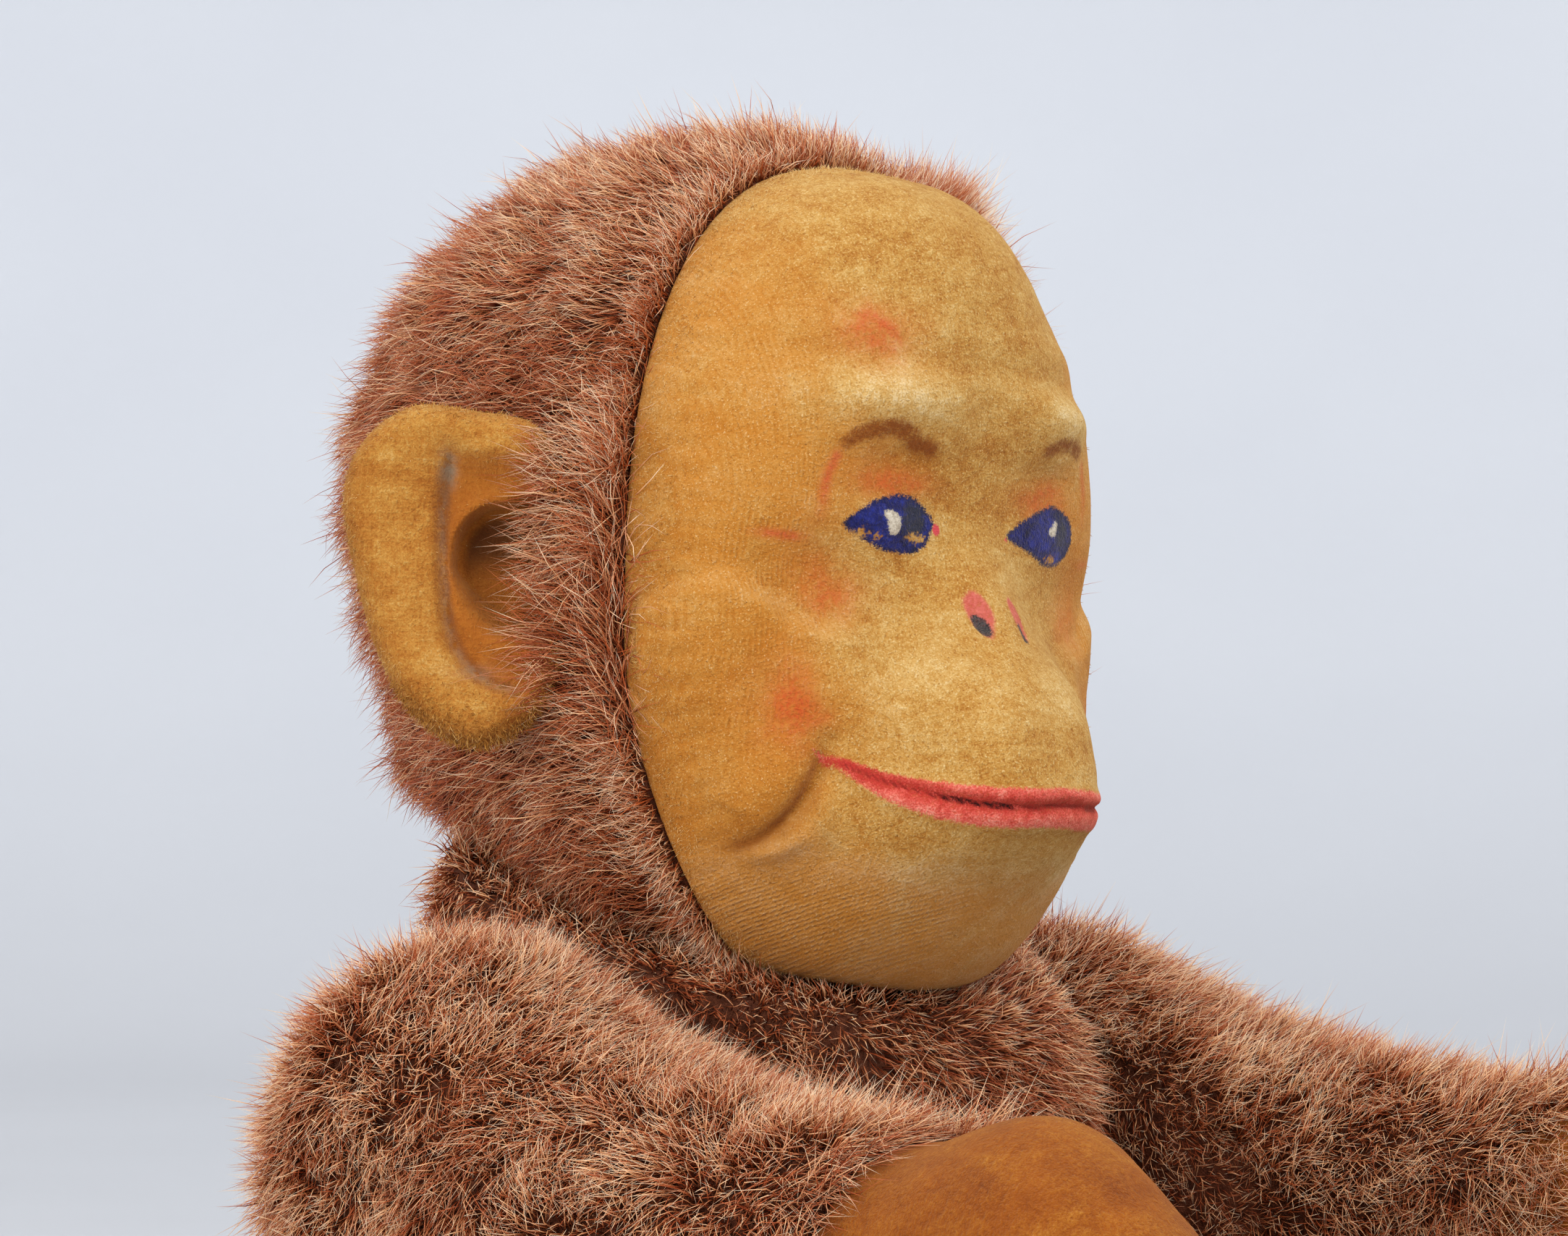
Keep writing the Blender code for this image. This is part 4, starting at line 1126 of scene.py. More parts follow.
    attr["row_amount"] = 0.22 + 1.9 * step01((-31.5 - zs) / 6.0) * step01((-xs - 0.5) / 6.0)
    # Less warm on the brow ridge, along with its painted highlight.
    attr["warm"] = 0.75 * step01((m + 1.5 * vnoise(verts, 9.0, 63) - 9.0) / 14.0) + 0.86 * step01((-28.0 - zs) / 9.0) + 0.35 * bump(m, zs, 11.0, 6.5, 8.0, 4.0) - 0.35 * bump(
        m, zs, 12.0, 13.8, 8.0, 2.6
    )
    world = head_world(verts)
    FUZZ_FACE.append((verts[: n * n], grid_normals(p, wrap=False).reshape(-1, 3), np.minimum.reduce(
        [attr["eye"], attr["lip"], attr["pink"], attr["black"], 9.0 - 9.0 * attr["brow"]])[: n * n], from_edge.ravel()))
    ob = build_mesh("velvet_face", world, faces, attributes=attr)
    ob.data.materials.append(FACE)
    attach(ob, "head")
    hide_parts("face_mask")
    return ob


# ------------------------------------------------------------------ mohair skins (backing cloth)
def skin(name, grid, body, node, hand=1):
    v, f = tube(grid)
    if hand < 0:
        v = mirrored(v)
    ob = build_mesh(name, v, f)
    ob.data.materials.append(BACKING)
    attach(ob, body)
    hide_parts(node)
    return ob


def lumps(grid, amount, size, seed):
    """Firm stuffing shows a little through the cloth."""
    n = grid_normals(grid)
    d = amount * vnoise(grid, size, seed)
    return grid + n * d[..., None]


HEAD_E = np.linspace(0.0, 1.0, 121)[:-1]
HEAD_PHI = np.linspace(0, 2 * math.pi, 220, endpoint=False)


def head_grid():
    e, phi = np.meshgrid(np.r_[HEAD_E, 0.9995], HEAD_PHI, indexing="ij")
    p = head_back(e, phi)
    p[0, :, 1] += 0.25
    return onto_neck(p, +1)


def form_grid(form, s0, s1, rows, cols):
    k = np.linspace(0, 1, rows)
    # closer rings where the domes turn in
    full = form.length * (1 - np.cos(math.pi * np.linspace(0, 1, 2001))) / 2
    full = full[(full >= s0) & (full <= s1)]
    s = np.interp(k, np.linspace(0, 1, len(full)), full)
    s[0], s[-1] = max(s0, 0.02), min(s1, form.length - 0.02)
    th = np.linspace(0, 2 * math.pi, cols, endpoint=False)
    ss, tt = np.meshgrid(s, th, indexing="ij")
    return form.at(ss, tt), ss, tt


# ------------------------------------------------------------------ mohair pile
RNG = np.random.default_rng(20)
MOST_TRIS = 195_000


def scatter(grid, per_mm2, keep=None, seed=1):
    """Random roots on a wrapped grid surface: points and outward normals."""
    rng = np.random.default_rng(seed)
    a, b = grid[:-1], np.roll(grid, -1, 1)[:-1]
    c, d = np.roll(grid, -1, 1)[1:], grid[1:]
    area = np.linalg.norm(np.cross(c - a, d - b), axis=-1) / 2
    mids = (a + b + c + d) / 4
    w = area * per_mm2
    if keep is not None:
        w = w * keep(mids)
    count = rng.poisson(w)
    r, k = np.nonzero(count)
    rep = count[r, k]
    r, k = np.repeat(r, rep), np.repeat(k, rep)
    u, v = rng.random(len(r))[:, None], rng.random(len(r))[:, None]
    p = (a[r, k] * (1 - u) + b[r, k] * u) * (1 - v) + (d[r, k] * (1 - u) + c[r, k] * u) * v
    n = grid_normals(grid)
    n2 = np.roll(n, -1, 1)
    nn = (n[r, k] * (1 - u) + n2[r, k] * u) * (1 - v) + (n[r + 1, k] * (1 - u) + n2[r + 1, k] * u) * v
    return p, unit(nn)


def pile(name, body, p, n, comb, length, lean, rng, width=0.13, rings=3, stray=0.03, tidy=None, low=None, root=None,
         shift=0.0, material=None):
    """Closed tapering strands. comb: which way the pile lies; lean: its angle from the normal, radians."""
    count = len(p)
    t = comb - n * np.sum(comb * n, -1, keepdims=True)
    t = unit(t + 1e-6)
    side = np.cross(n, t)
    swirl = 0.85 * vnoise(p, 9.0, 31) + 1.0 * vnoise(p, 3.2, 32) + rng.normal(0, 0.5, count)
    t = t * np.cos(swirl)[:, None] + side * np.sin(swirl)[:, None]
    angle = lean + 0.36 * vnoise(p, 5.0, 33) + 0.28 * vnoise(p, 2.0, 34) + rng.normal(0, 0.22, count)
    angle = np.clip(angle, 0.12, 1.35)
    length = length * (1.0 + 0.16 * vnoise(p, 4.0, 35)) * rng.uniform(0.72, 1.15, count)
    odd = rng.random(count) < stray
    length = np.where(odd, length * rng.uniform(1.15, 1.5, count), length)
    angle = np.where(odd, angle * rng.uniform(0.3, 1.0, count), angle)
    bend = rng.normal(0.26, 0.22, count)  # more lean towards the tip
    twist = rng.normal(0, 0.30, count)
    side = np.cross(n, t)
    pts = [p - n * 0.35]
    for k in range(rings):
        share = (k + 0.5) / rings
        a = np.clip(angle + bend * (share * 2 - 0.6), 0.05, 1.5)
        w = twist * share * 2
        tt = t * np.cos(w)[:, None] + side * np.sin(w)[:, None]
        d = n * np.cos(a)[:, None] + tt * np.sin(a)[:, None]
        pts.append(pts[-1] + d * (length / rings)[:, None])
    pts = np.stack(pts, 1)  # count, rings + 1, 3
    if tidy is not None:
        pts = tidy(pts, p)
    if low is not None:
        pts[..., 2] = np.maximum(pts[..., 2], low)
    ax = unit(np.gradient(pts, axis=1))
    ref = unit(rng.normal(size=(count, 1, 3)) + 1e-6)
    s1 = unit(np.cross(ax, ref))
    s2 = np.cross(ax, s1)
    thick = width * 0.5 * rng.uniform(0.75, 1.25, count)
    taper = np.interp(np.linspace(0, 1, rings + 1), [0, 0.4, 0.8, 1.0], [1.0, 0.92, 0.55, 0.0])
    ringpts = []
    for k in range(rings):
        for j in range(3):
            ang = 2 * math.pi * j / 3
            o = s1[:, k] * math.cos(ang) + s2[:, k] * math.sin(ang)
            ringpts.append(pts[:, k] + o * (thick * taper[k])[:, None])
    ringpts.append(pts[:, -1])
    v = np.stack(ringpts, 1)  # count, 3 * rings + 1, 3
    per = 3 * rings + 1
    quads, tris = [], [[0, 2, 1]]
    for k in range(rings - 1):
        for j in range(3):
            a0, a1 = 3 * k + j, 3 * k + (j + 1) % 3
            quads.append([a0, a1, a1 + 3, a0 + 3])
    for j in range(3):
        tris.append([3 * (rings - 1) + j, 3 * (rings - 1) + (j + 1) % 3, per - 1])
    quads, tris = np.array(quads), np.array(tris)
    tone = np.clip(
        0.36 + shift + 0.22 * vnoise(p, 6.0, 41) + 0.26 * vnoise(p, 1.6, 42) + rng.normal(0, 0.32, count), 0.02, 0.98
    )
    along = np.r_[np.repeat(np.arange(rings) / rings, 3), 1.0] * 0.96 + 0.02
    root = np.zeros(count) if root is None else root
    per_strand = 2 * len(quads) + len(tris)
    chunk = MOST_TRIS // per_strand
    made = []
    order = np.lexsort((p[:, 2] // 8, p[:, 1] // 8, p[:, 0] // 8))
    for c, start in enumerate(range(0, count, chunk)):
        pick = order[start : start + chunk]
        m = len(pick)
        base = (np.arange(m) * per)[:, None, None]
        fq = (quads[None] + base).reshape(-1, 4)
        ft = (tris[None] + base).reshape(-1, 3)
        v_map = root[pick][:, None] + (1 - root[pick][:, None]) * along[None]
        uv = np.stack([np.repeat(tone[pick], per), v_map.ravel()], -1)
        ob = build_mesh(f"{name}_{c + 1}", v[pick].reshape(-1, 3), [fq, ft], uv=uv)
        ob.data.materials.append(material or FUR)
        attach(ob, body)
        made.append(ob)
    return made


# ------------------------------------------------------------------ ears
EAR_ROOT = np.array([32.6, -6.0, -4.6])
EAR_OUT = np.array([0.67, 0.742, 0.0])
EAR_FRONT = np.array([0.742, -0.67, 0.0])
EAR_OUTLINE = [
    (11.8, 16.7), (15.4, 14.6), (17.9, 11.1), (18.6, 7.1), (18.1, 3.4), (17.0, -1.1), (15.4, -6.5), (12.9, -11.5),
    (9.9, -15.0), (6.7, -16.6), (4.0, -16.9), (1.2, -15.8), (-1.2, -13.6), (-2.8, -10.3), (-3.6, -6.5), (-3.8, 0.2),
    (-3.6, 7.0), (-2.6, 12.0), (-0.2, 15.0), (2.6, 15.9), (5.2, 16.2), (8.4, 16.7),
]  # (outwards from the head, up), mm
EAR_CREASE = [(8.0, 11.6), (8.6, 8.4), (8.7, 5.3), (8.6, 2.4), (8.3, -1.1), (7.8, -5.2), (6.4, -8.2), (4.0, -10.4), (1.0, -11.4)]
EAR_HOLLOW = [(3.2, 6.9), (5.2, 6.2), (6.6, 4.9), (7.4, 3.0), (7.6, 0.7), (7.1, -1.8), (6.0, -4.0), (4.2, -5.6), (2.2, -6.4), (-3.4, -6.8), (-4.2, 0.0), (-3.0, 7.2)]



def ear_frame(a, h, t, side):
    p = EAR_ROOT + EAR_OUT * a[..., None] + EAR_FRONT * t[..., None] + np.array([0, 0, 1.0]) * h[..., None]
    return p * np.array([side, 1.0, 1.0])


def ear_heights(a, h):
    """Front and back surface of the ear over its own plane, mm."""
    pts = smooth_line(EAR_OUTLINE, closed=True)
    dist, _ = line_distance(a, h, pts, closed=True)
    cup = 1.6 * (((a - 8.4) / 12.0) ** 2 + 0.8 * (h / 16.6) ** 2)
    round_edge = np.sqrt(np.clip(1 - (1 - np.minimum(dist / 2.0, 1)) ** 2, 0, 1))
    front = 1.7 * round_edge
    crease = smooth_line(EAR_CREASE)
    dc, tc = line_distance(a, h, crease)
    # which side of the crease: nearer to the head than the crease's own line
    line = np.interp(h, crease[::-1, 1], crease[::-1, 0])
    within = step01((line - a + 0.5) / 1.2) * step01((12.6 - h) / 3.0) * step01((h + 12.4) / 3.0)
    roll = np.sin(np.pi * np.clip(dist / (dist + dc + 1e-6), 0, 1)) ** 0.8
    front += 1.25 * roll * (1 - within) * step01((a + 2) / 5)
    front -= 0.45 * within
    front -= 0.85 * np.exp(-((dc / 0.6) ** 2)) * step01((12.2 - h) / 2.5) * step01((h + 13) / 3)
    hollow = shape_distance(a, h, EAR_HOLLOW)
    soft = 0.55 + 3.6 * step01((1.5 - h) / 6.0)
    front += 0.30 * np.exp(-(((hollow - 0.9) / 0.8) ** 2)) * within
    front -= 3.1 * step01((0.35 - hollow) / soft) * step01(dist / 2)
    q = np.stack([a, h, np.zeros_like(a)], -1)
    front += (0.16 * vnoise(q, 4.5, 51) + 0.06 * vnoise(q, 1.5, 52)) * round_edge
    back = np.minimum(-1.5 * round_edge, front - 1.2 * round_edge)
    return front + cup, back + cup, dist, dc, hollow, within


def make_ear(side, sign):
    n = 150
    r, ang = disk_grid(n)
    cen = np.array([7.0, 0.0])
    pts = smooth_line(EAR_OUTLINE, closed=True) - cen
    pa = np.arctan2(pts[:, 1], pts[:, 0])
    pr = np.hypot(pts[:, 0], pts[:, 1])
    o = np.argsort(pa)
    direction = np.arctan2(np.sign(r) * np.sin(ang), np.sign(r) * np.cos(ang))
    rad = np.interp(direction, np.r_[pa[o] - 2 * math.pi, pa[o], pa[o] + 2 * math.pi], np.tile(pr[o], 3))
    rr = np.abs(r)
    rr = 1 - (1 - rr) ** 1.25  # closer lines at the rim
    a = cen[0] + rad * rr * np.cos(direction)
    h = cen[1] + rad * rr * np.sin(direction)
    front, back, dist, dc, hollow, within = ear_heights(a, h)
    pf, pb = ear_frame(a, h, front, sign), ear_frame(a, h, back, sign)
    b = border(n)
    keep = np.ones(n * n, bool)
    keep[b] = False
    index = np.full(n * n, -1)
    index[keep] = n * n + np.arange(keep.sum())
    index[b] = b
    verts = np.vstack([pf.reshape(-1, 3), pb.reshape(-1, 3)[keep]])
    q = grid_faces(n, n, False)
    qb = index[q][:, ::-1]
    faces = [q, qb]
    # The tone paints light and shade: a paler band along the rolled rim and a paler top are painted highlight, and the
    # darker crease and sunken plateau are painted shade.
    tone = 0.50 + 0.16 * np.exp(-(((dist - 4.5) / 3) ** 2)) + 0.12 * step01((h - 8) / 8)
    tone = tone - 0.16 * np.exp(-((dc / 0.9) ** 2)) - 0.16 * within
    # Painted shade: darker in the crease near its top, along the outline and at the bottom edge.
    shade_and_stitches = 0.35 * np.exp(-((dc / 0.7) ** 2)) * np.exp(-(((h - 9) / 5.0) ** 2))
    shade_and_stitches += 0.30 * np.exp(-((dist / 0.7) ** 2)) + 0.35 * np.exp(-((dist / 1.6) ** 2)) * step01((-12 - h) / 2)
    # Painted shade in the hollow, darker towards its top where the pile hangs over.
    deep = step01((0.15 - hollow) / 1.6) * (0.35 + 0.65 * step01((h + 1.0) / 4.0))
    extra = lambda f, other: np.r_[f.ravel(), other.ravel()[keep]]
    attr = {
        "tone": extra(tone, np.full_like(tone, 0.42)),
        "shade_and_stitches": extra(shade_and_stitches, np.zeros_like(shade_and_stitches)),
        "worn": extra(
            0.85 * bump(a, h, 8.2, 10.4, 0.8, 1.6)
            + 0.30 * np.exp(-((dc / 0.45) ** 2)) * step01((10 - h) / 4)
            + 0.25 * bump(a, h, 5.0, -9.6, 2.5, 0.8),
            np.zeros_like(a),
        ),
        "warm": extra(0.25 + 0.70 * within + 0.3 * step01((4 - a) / 5), np.full_like(a, 0.4)),
        "deep": extra(deep, np.zeros_like(deep)),
        "rib_u": extra(a, a),
        "rib_v": extra(h, h),
    }
    full = np.stack([pf, pb]).reshape(2, n * n, 3)
    nn = [grid_normals(q2, wrap=False).reshape(-1, 3) for q2 in (pf, pb)]
    FUZZ_EAR.append((full, nn, dist.ravel(), h.ravel(), deep.ravel()))
    ob = build_mesh(f"velvet_ear_{side}", head_world(verts), faces, attributes=attr)
    ob.data.materials.append(EAR_VELVET)
    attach(ob, "head")
    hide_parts(f"ear_{side}")
    return ob


def clear_ears(pts, roots):
    """Keep the pile on its own side of the ears. Points are in the head's own frame."""
    for sign in (1.0, -1.0):
        flipped = np.array([sign, 1.0, 1.0])
        q = (pts * flipped) - EAR_ROOT
        a, t, h = q @ EAR_OUT, q @ EAR_FRONT, q[..., 2]
        r = (roots * flipped) - EAR_ROOT
        rt = r @ EAR_FRONT
        near = inside(a.ravel(), h.ravel(), smooth_line(EAR_OUTLINE, closed=True, per=3)).reshape(a.shape)
        near &= (np.abs(t) < 9.0) & ((pts[..., 0] * sign) > 22)
        rows = near.any(1)
        if not rows.any():
            continue
        aa, hh, tt = a[rows], h[rows], t[rows]
        front, back = ear_heights(aa.ravel(), hh.ravel())[:2]
        front, back = front.reshape(aa.shape), back.reshape(aa.shape)
        before = (rt[rows] > -1.0)[:, None]
        want = np.where(before, np.maximum(tt, front + 0.25), np.minimum(tt, back - 0.25))
        want = np.where(near[rows], want, tt)
        q2 = q[rows] + EAR_FRONT * (want - tt)[..., None]
        pts[rows] = (q2 + EAR_ROOT) * flipped
    return pts


# ------------------------------------------------------------------ hands and feet
def make_hand(side, sign):
    rows, cols = 150, 200
    p, s, th = form_grid(ARM, WRIST_S + 0.45, ARM.length, rows, cols)
    n = grid_normals(p)
    k = through(ARM.stations, s)
    w = k[..., 0]
    x = (p[..., 0] - ARM.middle(through(ARM.spine, s)[..., 0])) / w  # -1 inner .. 1 outer
    u = s - WRIST_S
    total = ARM.length - WRIST_S
    tip = step01((u - total * 0.52) / (total * 0.22))
    faceup = np.abs(np.sin(th)) ** 0.7
    d = np.zeros_like(s)
    for c in (-0.46, 0.0, 0.46):
        groove = np.exp(-(((x - c) * w / 0.62) ** 2))
        d -= 0.85 * groove * tip * faceup
    for c in (-0.70, -0.23, 0.23, 0.70):
        d += 0.35 * np.exp(-(((x - c) * w / 1.7) ** 2)) * tip * faceup
    # thumb: a low pad on the inner side, below
    thumb = np.exp(-(((u - total * 0.40) / 7.0) ** 2)) * np.exp(-(((th - 2.55) / 0.55) ** 2))
    d += 2.2 * thumb
    rim = np.hypot((u - total * 0.40) / 9.5, (th - 2.55) / 0.80)
    d -= 0.8 * np.exp(-(((rim - 1.0) / 0.10) ** 2)) * (th > 1.6)
    d += 0.35 * vnoise(p, 9.0, 61) + 0.10 * vnoise(p, 3.0, 62)
    d *= step01(u / 3.0)
    p = p + n * d[..., None]
    v, f = tube(p)
    # The tone paints light and shade: paler where the velvet faces up and on the raised fingers, darker in the grooves
    # and at the wrist under the pile.
    tone = 0.50 + 0.12 * np.clip(n[..., 2], -1, 1) - 0.2 * step01((3 - u) / 3) + 0.25 * d.clip(-0.6, 0.3)
    stitch = np.zeros_like(s)
    for c in (-0.46, 0.0, 0.46):
        stitch = np.maximum(stitch, np.exp(-(((x - c) * w / 0.42) ** 2)) * tip * faceup)
    end = lambda q: np.r_[q.ravel(), q.ravel()[:1], q.ravel()[-1:]]
    attr = {
        "tone": end(tone),
        "warm": end(np.full_like(s, 0.45)),
        "shade_and_stitches": end(0.75 * stitch),
        "worn": end(np.zeros_like(s)),
        "deep": end(np.zeros_like(s)),
        "rib_u": end(p[..., 0]),
        "rib_v": end(s),
    }
    if sign < 0:
        v = mirrored(v)
    ob = build_mesh(f"velvet_hand_{side}", v, f, attributes=attr)
    ob.data.materials.append(VELVET)
    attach(ob, f"arm_{side}")
    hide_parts(f"hand_{side}")


def make_foot(side, sign):
    rows, cols = 150, 200
    p, s, th = form_grid(LEG, ANKLE_S + 0.45, LEG.length, rows, cols)
    n = grid_normals(p)
    k = through(LEG.stations, s)
    w = k[..., 0]
    x = (p[..., 0] - LEG.centre_x) / w
    u = s - ANKLE_S
    total = LEG.length - ANKLE_S
    tip = step01((u - total * 0.62) / (total * 0.15))
    faceup = np.abs(np.sin(th)) ** 0.6
    d = np.zeros_like(s)
    for c in (-0.36, 0.02, 0.34, 0.64):
        d -= 0.85 * np.exp(-(((x - c) * w / 0.6) ** 2)) * tip * faceup
    d += 0.8 * np.exp(-(((x + 0.72) * w / 3.4) ** 2)) * tip  # great toe
    for c in (-0.17, 0.18, 0.49, 0.80):
        d += 0.3 * np.exp(-(((x - c) * w / 1.5) ** 2)) * tip * faceup
    sole = step01(np.sin(th) / 0.5)
    d -= 0.9 * sole * np.exp(-(((u - total * 0.42) / 9.0) ** 2)) * np.exp(-((x / 0.55) ** 2))
    d += 0.3 * vnoise(p, 9.0, 71) + 0.1 * vnoise(p, 3.0, 72)
    d *= step01(u / 3.0)
    p = p + n * d[..., None]
    p[..., 2] = np.maximum(p[..., 2], 0.25)
    v, f = tube(p)
    # The tone paints shade: darker at the ankle under the pile and in the toe grooves, and paler on the raised toes;
    # the sole is a little paler.
    tone = 0.50 - 0.2 * step01((3 - u) / 3) + 0.25 * d.clip(-0.6, 0.3) + 0.1 * sole
    stitch = np.zeros_like(s)
    for c in (-0.36, 0.02, 0.34, 0.64):
        stitch = np.maximum(stitch, np.exp(-(((x - c) * w / 0.42) ** 2)) * tip * faceup)
    end = lambda q: np.r_[q.ravel(), q.ravel()[:1], q.ravel()[-1:]]
    attr = {
        "tone": end(tone),
        "warm": end(np.full_like(s, 0.45)),
        "shade_and_stitches": end(0.75 * stitch),
        "worn": end(np.zeros_like(s)),
        "deep": end(np.zeros_like(s)),
        "rib_u": end(p[..., 0]),
        "rib_v": end(s),
    }
    if sign < 0:
        v = mirrored(v)
    ob = build_mesh(f"velvet_foot_{side}", v, f, attributes=attr)
    ob.data.materials.append(VELVET)
    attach(ob, f"leg_{side}")
    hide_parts(f"foot_{side}")


# ------------------------------------------------------------------ build: head
make_face()
grid = head_grid()
grid = lumps(grid, 0.35, 12.0, 3)
skin("mohair_head", head_world(grid.reshape(-1, 3)).reshape(grid.shape), "head", "head_skin")
for side, sign in (("left", 1.0), ("right", -1.0)):
    make_ear(side, sign)


def head_keep(m):
    d = (m - NECK_IN_HEAD) @ NECK_N
    centre = m - NECK_IN_HEAD
    inner_r = np.linalg.norm(centre - NECK_N * ((centre @ NECK_N)[..., None]), axis=-1)
    k = np.where((d < 1.6) & (inner_r < 20), 0.0, 1.0)
    return np.where(d < 2.5, 0.6 * k, k)


p, n = scatter(grid, 6.0, head_keep, seed=101)
comb = np.array([0.0, 1.0, -0.42]) + np.outer(step01((p[:, 1] - 0) / 30.0), [0.0, 0.0, -0.9])
from_seam = p[:, 1] - seam_y(p[:, 2])
length = 5.5 * (0.78 + 0.22 * step01(from_seam / 5.0))
d = (p - NECK_IN_HEAD) @ NECK_N
length = np.where(d < 3.0, 3.6, length)
lean = 0.46 + 0.34 * step01(from_seam / 5.0) + 0.10 * step01(from_seam / 12.0) - 0.10 * step01((p[:, 2] - 18) / 14)
head_rng = np.random.default_rng(7)
# a thicker band right along the seam, some of it over the velvet's edge
band = 9000
turns = np.linspace(0, 2 * math.pi, 2001)
ring = head_back(np.zeros(2001), turns)
walk = np.r_[0, np.cumsum(np.linalg.norm(np.diff(ring, axis=0), axis=1))]
phi = np.interp(head_rng.random(band) * walk[-1], walk, turns)
e = head_rng.random(band) ** 2 * 0.022
p2 = head_back(e, phi)
n2 = unit(np.cross(head_back(e + 0.01, phi) - p2, head_back(e, phi + 0.01) - p2))
mid_line = np.array([0, 0, FACE_MID])
p2 = p2 + unit((mid_line - p2) * np.array([1, 0, 1])) * 0.25  # out from behind the velvet's edge
p2[:, 1] += head_rng.uniform(-0.05, 0.35, band)
p2 = onto_neck(p2, +1)
stay = head_keep(p2) > 0.5
p2, n2 = p2[stay], n2[stay]
back = np.where(head_rng.random(len(p2)) < 0.22, -1.0, 1.0)
comb2 = np.stack([head_rng.normal(0, 0.5, len(p2)), back, head_rng.normal(-0.3, 0.5, len(p2))], -1)
body_count = len(p)
p, n, comb = np.vstack([p, p2]), np.vstack([n, n2]), np.vstack([comb, comb2])
length = np.r_[length, head_rng.uniform(3.0, 5.4, len(p2))]
lean = np.r_[lean, np.where(back > 0, head_rng.uniform(0.45, 1.05, len(p2)), 0.14)]
root = np.r_[np.zeros(body_count), np.full(len(p2), 0.3)]
# mussed tufts over the far side of the crown
reach = p[:, 1] - seam_y(p[:, 2])
tuft = bump(p[:, 0], p[:, 2], 17.5, 32.0, 6.5, 8.0, 4.0) * step01((6.0 - reach) / 3.0)
wisp = bump(p[:, 0], p[:, 2], 26.0, 22.0, 5.0, 12.0, 4.0) * step01((4.0 - reach) / 3.0)
wisp = wisp * step01((vnoise(p, 2.2, 77) - 0.2) / 0.3)
extra = np.repeat(np.flatnonzero(tuft > 0.3), 3)
jitter = head_rng.uniform(-0.45, 0.45, (len(extra), 3))
p, n, comb = np.vstack([p, p[extra] + jitter]), np.vstack([n, n[extra]]), np.vstack([comb, comb[extra]])
length, lean, root, tuft, wisp = (np.r_[a, a[extra]] for a in (length, lean, root, tuft, wisp))
n = unit(n + np.outer(tuft, [0.25, -0.25, 0.6]) + np.outer(wisp, [0.5, -0.5, 0.3]))
tuft = np.maximum(tuft, wisp)
length = length * (1 - tuft) + 8.4 * tuft
lean = lean * (1 - 0.85 * tuft)
# long pile from before the ears that falls over their hollows
ear_at = np.column_stack([np.abs(p[:, 0]), p[:, 1], p[:, 2]]) - EAR_ROOT
before = step01((ear_at @ EAR_FRONT + 1.0) / 2.0) * step01((9.0 - ear_at @ EAR_FRONT) / 4.0)
before = before * bump(ear_at[:, 2], ear_at[:, 0], 0.0, 0.0, 15.0, 12.0, 6.0)
length = length * (1 + 0.75 * before)
lean = lean + (0.92 - lean) * 0.8 * before
comb = comb + np.outer(before, [0.0, 0.8, 0.55])


def head_tidy(pts, roots):
    return clear_ears(pts, roots)


# The shift paints light and shade on the pile: paler over the crown, darker towards the back of the head.
made = pile("pile_head", "head", p, n, comb, length, lean, head_rng, tidy=head_tidy, root=root, width=0.112,
            shift=0.14 * step01((p[:, 2] - 14) / 14) - 0.12 * step01((p[:, 1] - 4) / 16))


def fuzz(name, pts, nrm, chance, size, tones, seed, slot):
    rng = np.random.default_rng(seed)
    pick = np.flatnonzero(rng.random(len(pts)) < chance)
    extra = np.flatnonzero(rng.random(len(pts)) < chance - 1.0)
    pick = np.r_[pick, extra]
    q = pts[pick] + rng.uniform(-0.14, 0.14, (len(pick), 3))
    lie = np.array([[0.0, -0.2, -1.0]]) + rng.normal(0, 0.9, (len(pick), 3))
    return pile(name, "head", q, nrm[pick], lie, size[pick], rng.uniform(0.3, 1.15, len(pick)), rng, width=0.085,
                rings=2, stray=0.02, shift=tones[pick], material=FUZZ)


for pts, nrm, free, from_edge in FUZZ_FACE:
    nrm = np.where((nrm[:, 1:2] > 0.35) | (np.sum(nrm * (pts - [0, 10, FACE_MID]), -1, keepdims=True) < 0), -nrm, nrm)
    rim = np.exp(-((np.maximum(from_edge, 0) / 0.9) ** 2))
    chance = (0.08 + 0.6 * rim) * step01((free - 0.3) / 0.8) * np.where(from_edge <= 0.02, 0.0, 1.0)
    size = 0.50 + 0.40 * rim
    temple = step01((np.abs(pts[:, 0]) - 13) / 13)
    made += fuzz("pile_face", pts, nrm, chance, size, 0.20 - 0.30 * temple + 0.42 * rim, 21, "velvet")
for k, (full, nn, dist, h, deep) in enumerate(FUZZ_EAR):
    for part in (0, 1):
        pts, nrm = full[part], nn[part]
        away = (full[0] - full[1]) * (1 if part == 0 else -1)
        nrm = np.where(np.sum(nrm * away, -1, keepdims=True) < 0, -nrm, nrm)
        rim = np.exp(-((dist / 2.2) ** 2))
        chance = (0.25 + 0.55 * rim) * np.where(dist < 0.03, 0.3, 1.0) * (1 - deep) * (1.0 if part == 0 else 0.5)
        size = 0.5 + 0.35 * rim + 0.5 * step01((-9.0 - h) / 3.0)
        # Painted light and shade: the ear's pile is paler at the top and darker at the bottom.
        tones = -0.02 - 0.12 * step01((-11.0 - h) / 3.0) + 0.06 * step01((h - 8) / 6)
        made += fuzz(f"pile_ear_{k}{part}", pts, nrm, chance, size, tones, 31 + 2 * k + part, "ear_velvet")
